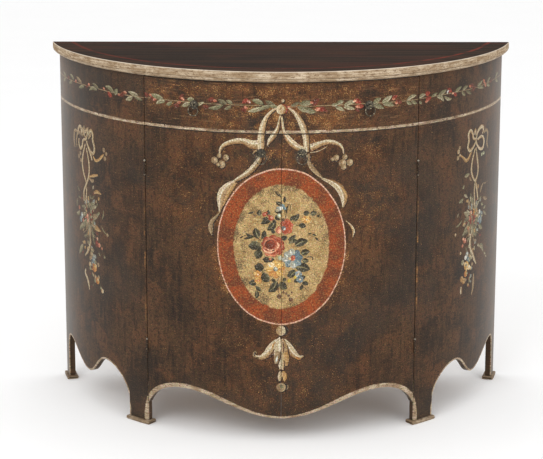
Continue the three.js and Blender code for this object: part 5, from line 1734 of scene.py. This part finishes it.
# How far inside a front's edges the ornament stays, and its lowest heights on doors and sides
MARGIN, DOOR_FILM_LOW, SIDE_FILM_LOW = 0.5, 60, 140
film("drawer_ornament", "drawer", (-FRONT_END + MARGIN, FRONT_END - MARGIN),
     (DRAWER_LOW + MARGIN, DRAWER_HIGH - MARGIN))
for word, side in SIDES:
    span = sorted((side * (MEETING + MARGIN / 2), side * (FRONT_END - MARGIN)))
    film(f"{word}_door_ornament", f"{word}_door_leaf", span,
         (DOOR_FILM_LOW, DOOR_HIGH - MARGIN))
    span = sorted((side * (PANEL_START + MARGIN), side * (BACK_ARC - MARGIN)))
    film(f"{word}_side_ornament", "case", span, (SIDE_FILM_LOW, CASE_TOP - MARGIN))


# CAD pieces that stay as they are: the magnets' iron, and wood with its grain upright or deep

DEEP = ("drawer_guide", "drawer_left_side", "drawer_right_side")
for name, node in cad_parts.items():
    if "catch" in name:
        material = IRON
    elif "back_board" in name:
        material = WOOD_Z
    elif any(word in name for word in DEEP):
        material = WOOD_Y
    else:
        material = WOOD_X
    node.data.materials.clear()
    node.data.materials.append(material)


# Camera at the photograph's place: metres and radians, fitted to the object's outlines

CAMERA_AT = (-0.0207, -4.3295, 1.5303)
PITCH, YAW, ROLL = 0.21168, -0.00047, -0.00115
LENS, SHIFT_X, SHIFT_Y = 116.47, -0.001, -0.0912

ahead = np.array([math.sin(YAW) * math.cos(PITCH), math.cos(YAW) * math.cos(PITCH),
                  -math.sin(PITCH)])
level = np.array([math.cos(YAW), -math.sin(YAW), 0.0])
under = np.cross(ahead, level)
right = math.cos(ROLL) * level + math.sin(ROLL) * under
down = math.cos(ROLL) * under - math.sin(ROLL) * level
camera_data = bpy.data.cameras.new("camera")
camera_data.sensor_width = 36.0
camera_data.lens = LENS
camera_data.shift_x = SHIFT_X
camera_data.shift_y = SHIFT_Y
camera_data.clip_end = 100.0
camera = bpy.data.objects.new("camera", camera_data)
camera.matrix_world = Matrix(
    [[right[i], -down[i], -ahead[i], CAMERA_AT[i]] for i in range(3)] + [[0, 0, 0, 1]])
scene = bpy.context.scene
scene.collection.objects.link(camera)
scene.camera = camera


# Floor, light and background

FLOOR_HALF = 20
LAMP_SIZE = 2.4
LAMPS_LOOK_AT = (0.0, 0.0, 0.45)


def floor():
    """A plain pale floor, FLOOR_HALF metres to each side, under the feet."""
    mesh = bpy.data.meshes.new("floor")
    corners = [(FLOOR_HALF * x, FLOOR_HALF * y, 0) for x, y in ((-1, -1), (1, -1), (1, 1), (-1, 1))]
    mesh.from_pydata(corners, [], [(0, 1, 2, 3)])
    material, t = new_material("floor")
    tone = t.mix(t.noise(t.place(), 3, 2), (0.97, 0.97, 0.97, 1), (0.99, 0.99, 0.99, 1))
    t.surface(tone, 0.9, gloss=0.1)
    mesh.materials.append(material)
    made = bpy.data.objects.new("floor", mesh)
    scene.collection.objects.link(made)


def lamp(name, place, power):
    """A square soft lamp, LAMP_SIZE wide, that looks at the cabinet's middle."""
    data = bpy.data.lights.new(name, "AREA")
    data.shape = "SQUARE"
    data.size = LAMP_SIZE
    data.energy = power
    made = bpy.data.objects.new(name, data)
    z = np.array(place) - np.array(LAMPS_LOOK_AT)
    z /= np.linalg.norm(z)
    x = np.cross((0, 0, 1), z)
    x /= np.linalg.norm(x)
    y = np.cross(z, x)
    made.matrix_world = Matrix(
        [[x[i], y[i], z[i], place[i]] for i in range(3)] + [[0, 0, 0, 1]])
    scene.collection.objects.link(made)


floor()
lamp("key", (-1.9, -3.6, 3.4), 62)
lamp("fill", (2.8, -3.0, 2.0), 34)

world = bpy.data.worlds.new("studio")
world.use_nodes = True
world.node_tree.nodes.clear()
t = Tree(world.node_tree)
seen = t.node("ShaderNodeLightPath").outputs["Is Camera Ray"]
tone = t.mix(seen, (0.99, 0.99, 0.99, 1), (1, 1, 1, 1))
background = t.node("ShaderNodeBackground", {"Color": tone, "Strength": 1.0})
t.put(background.outputs[0], t.node("ShaderNodeOutputWorld").inputs[0])
scene.world = world
scene.view_settings.view_transform = "Standard"
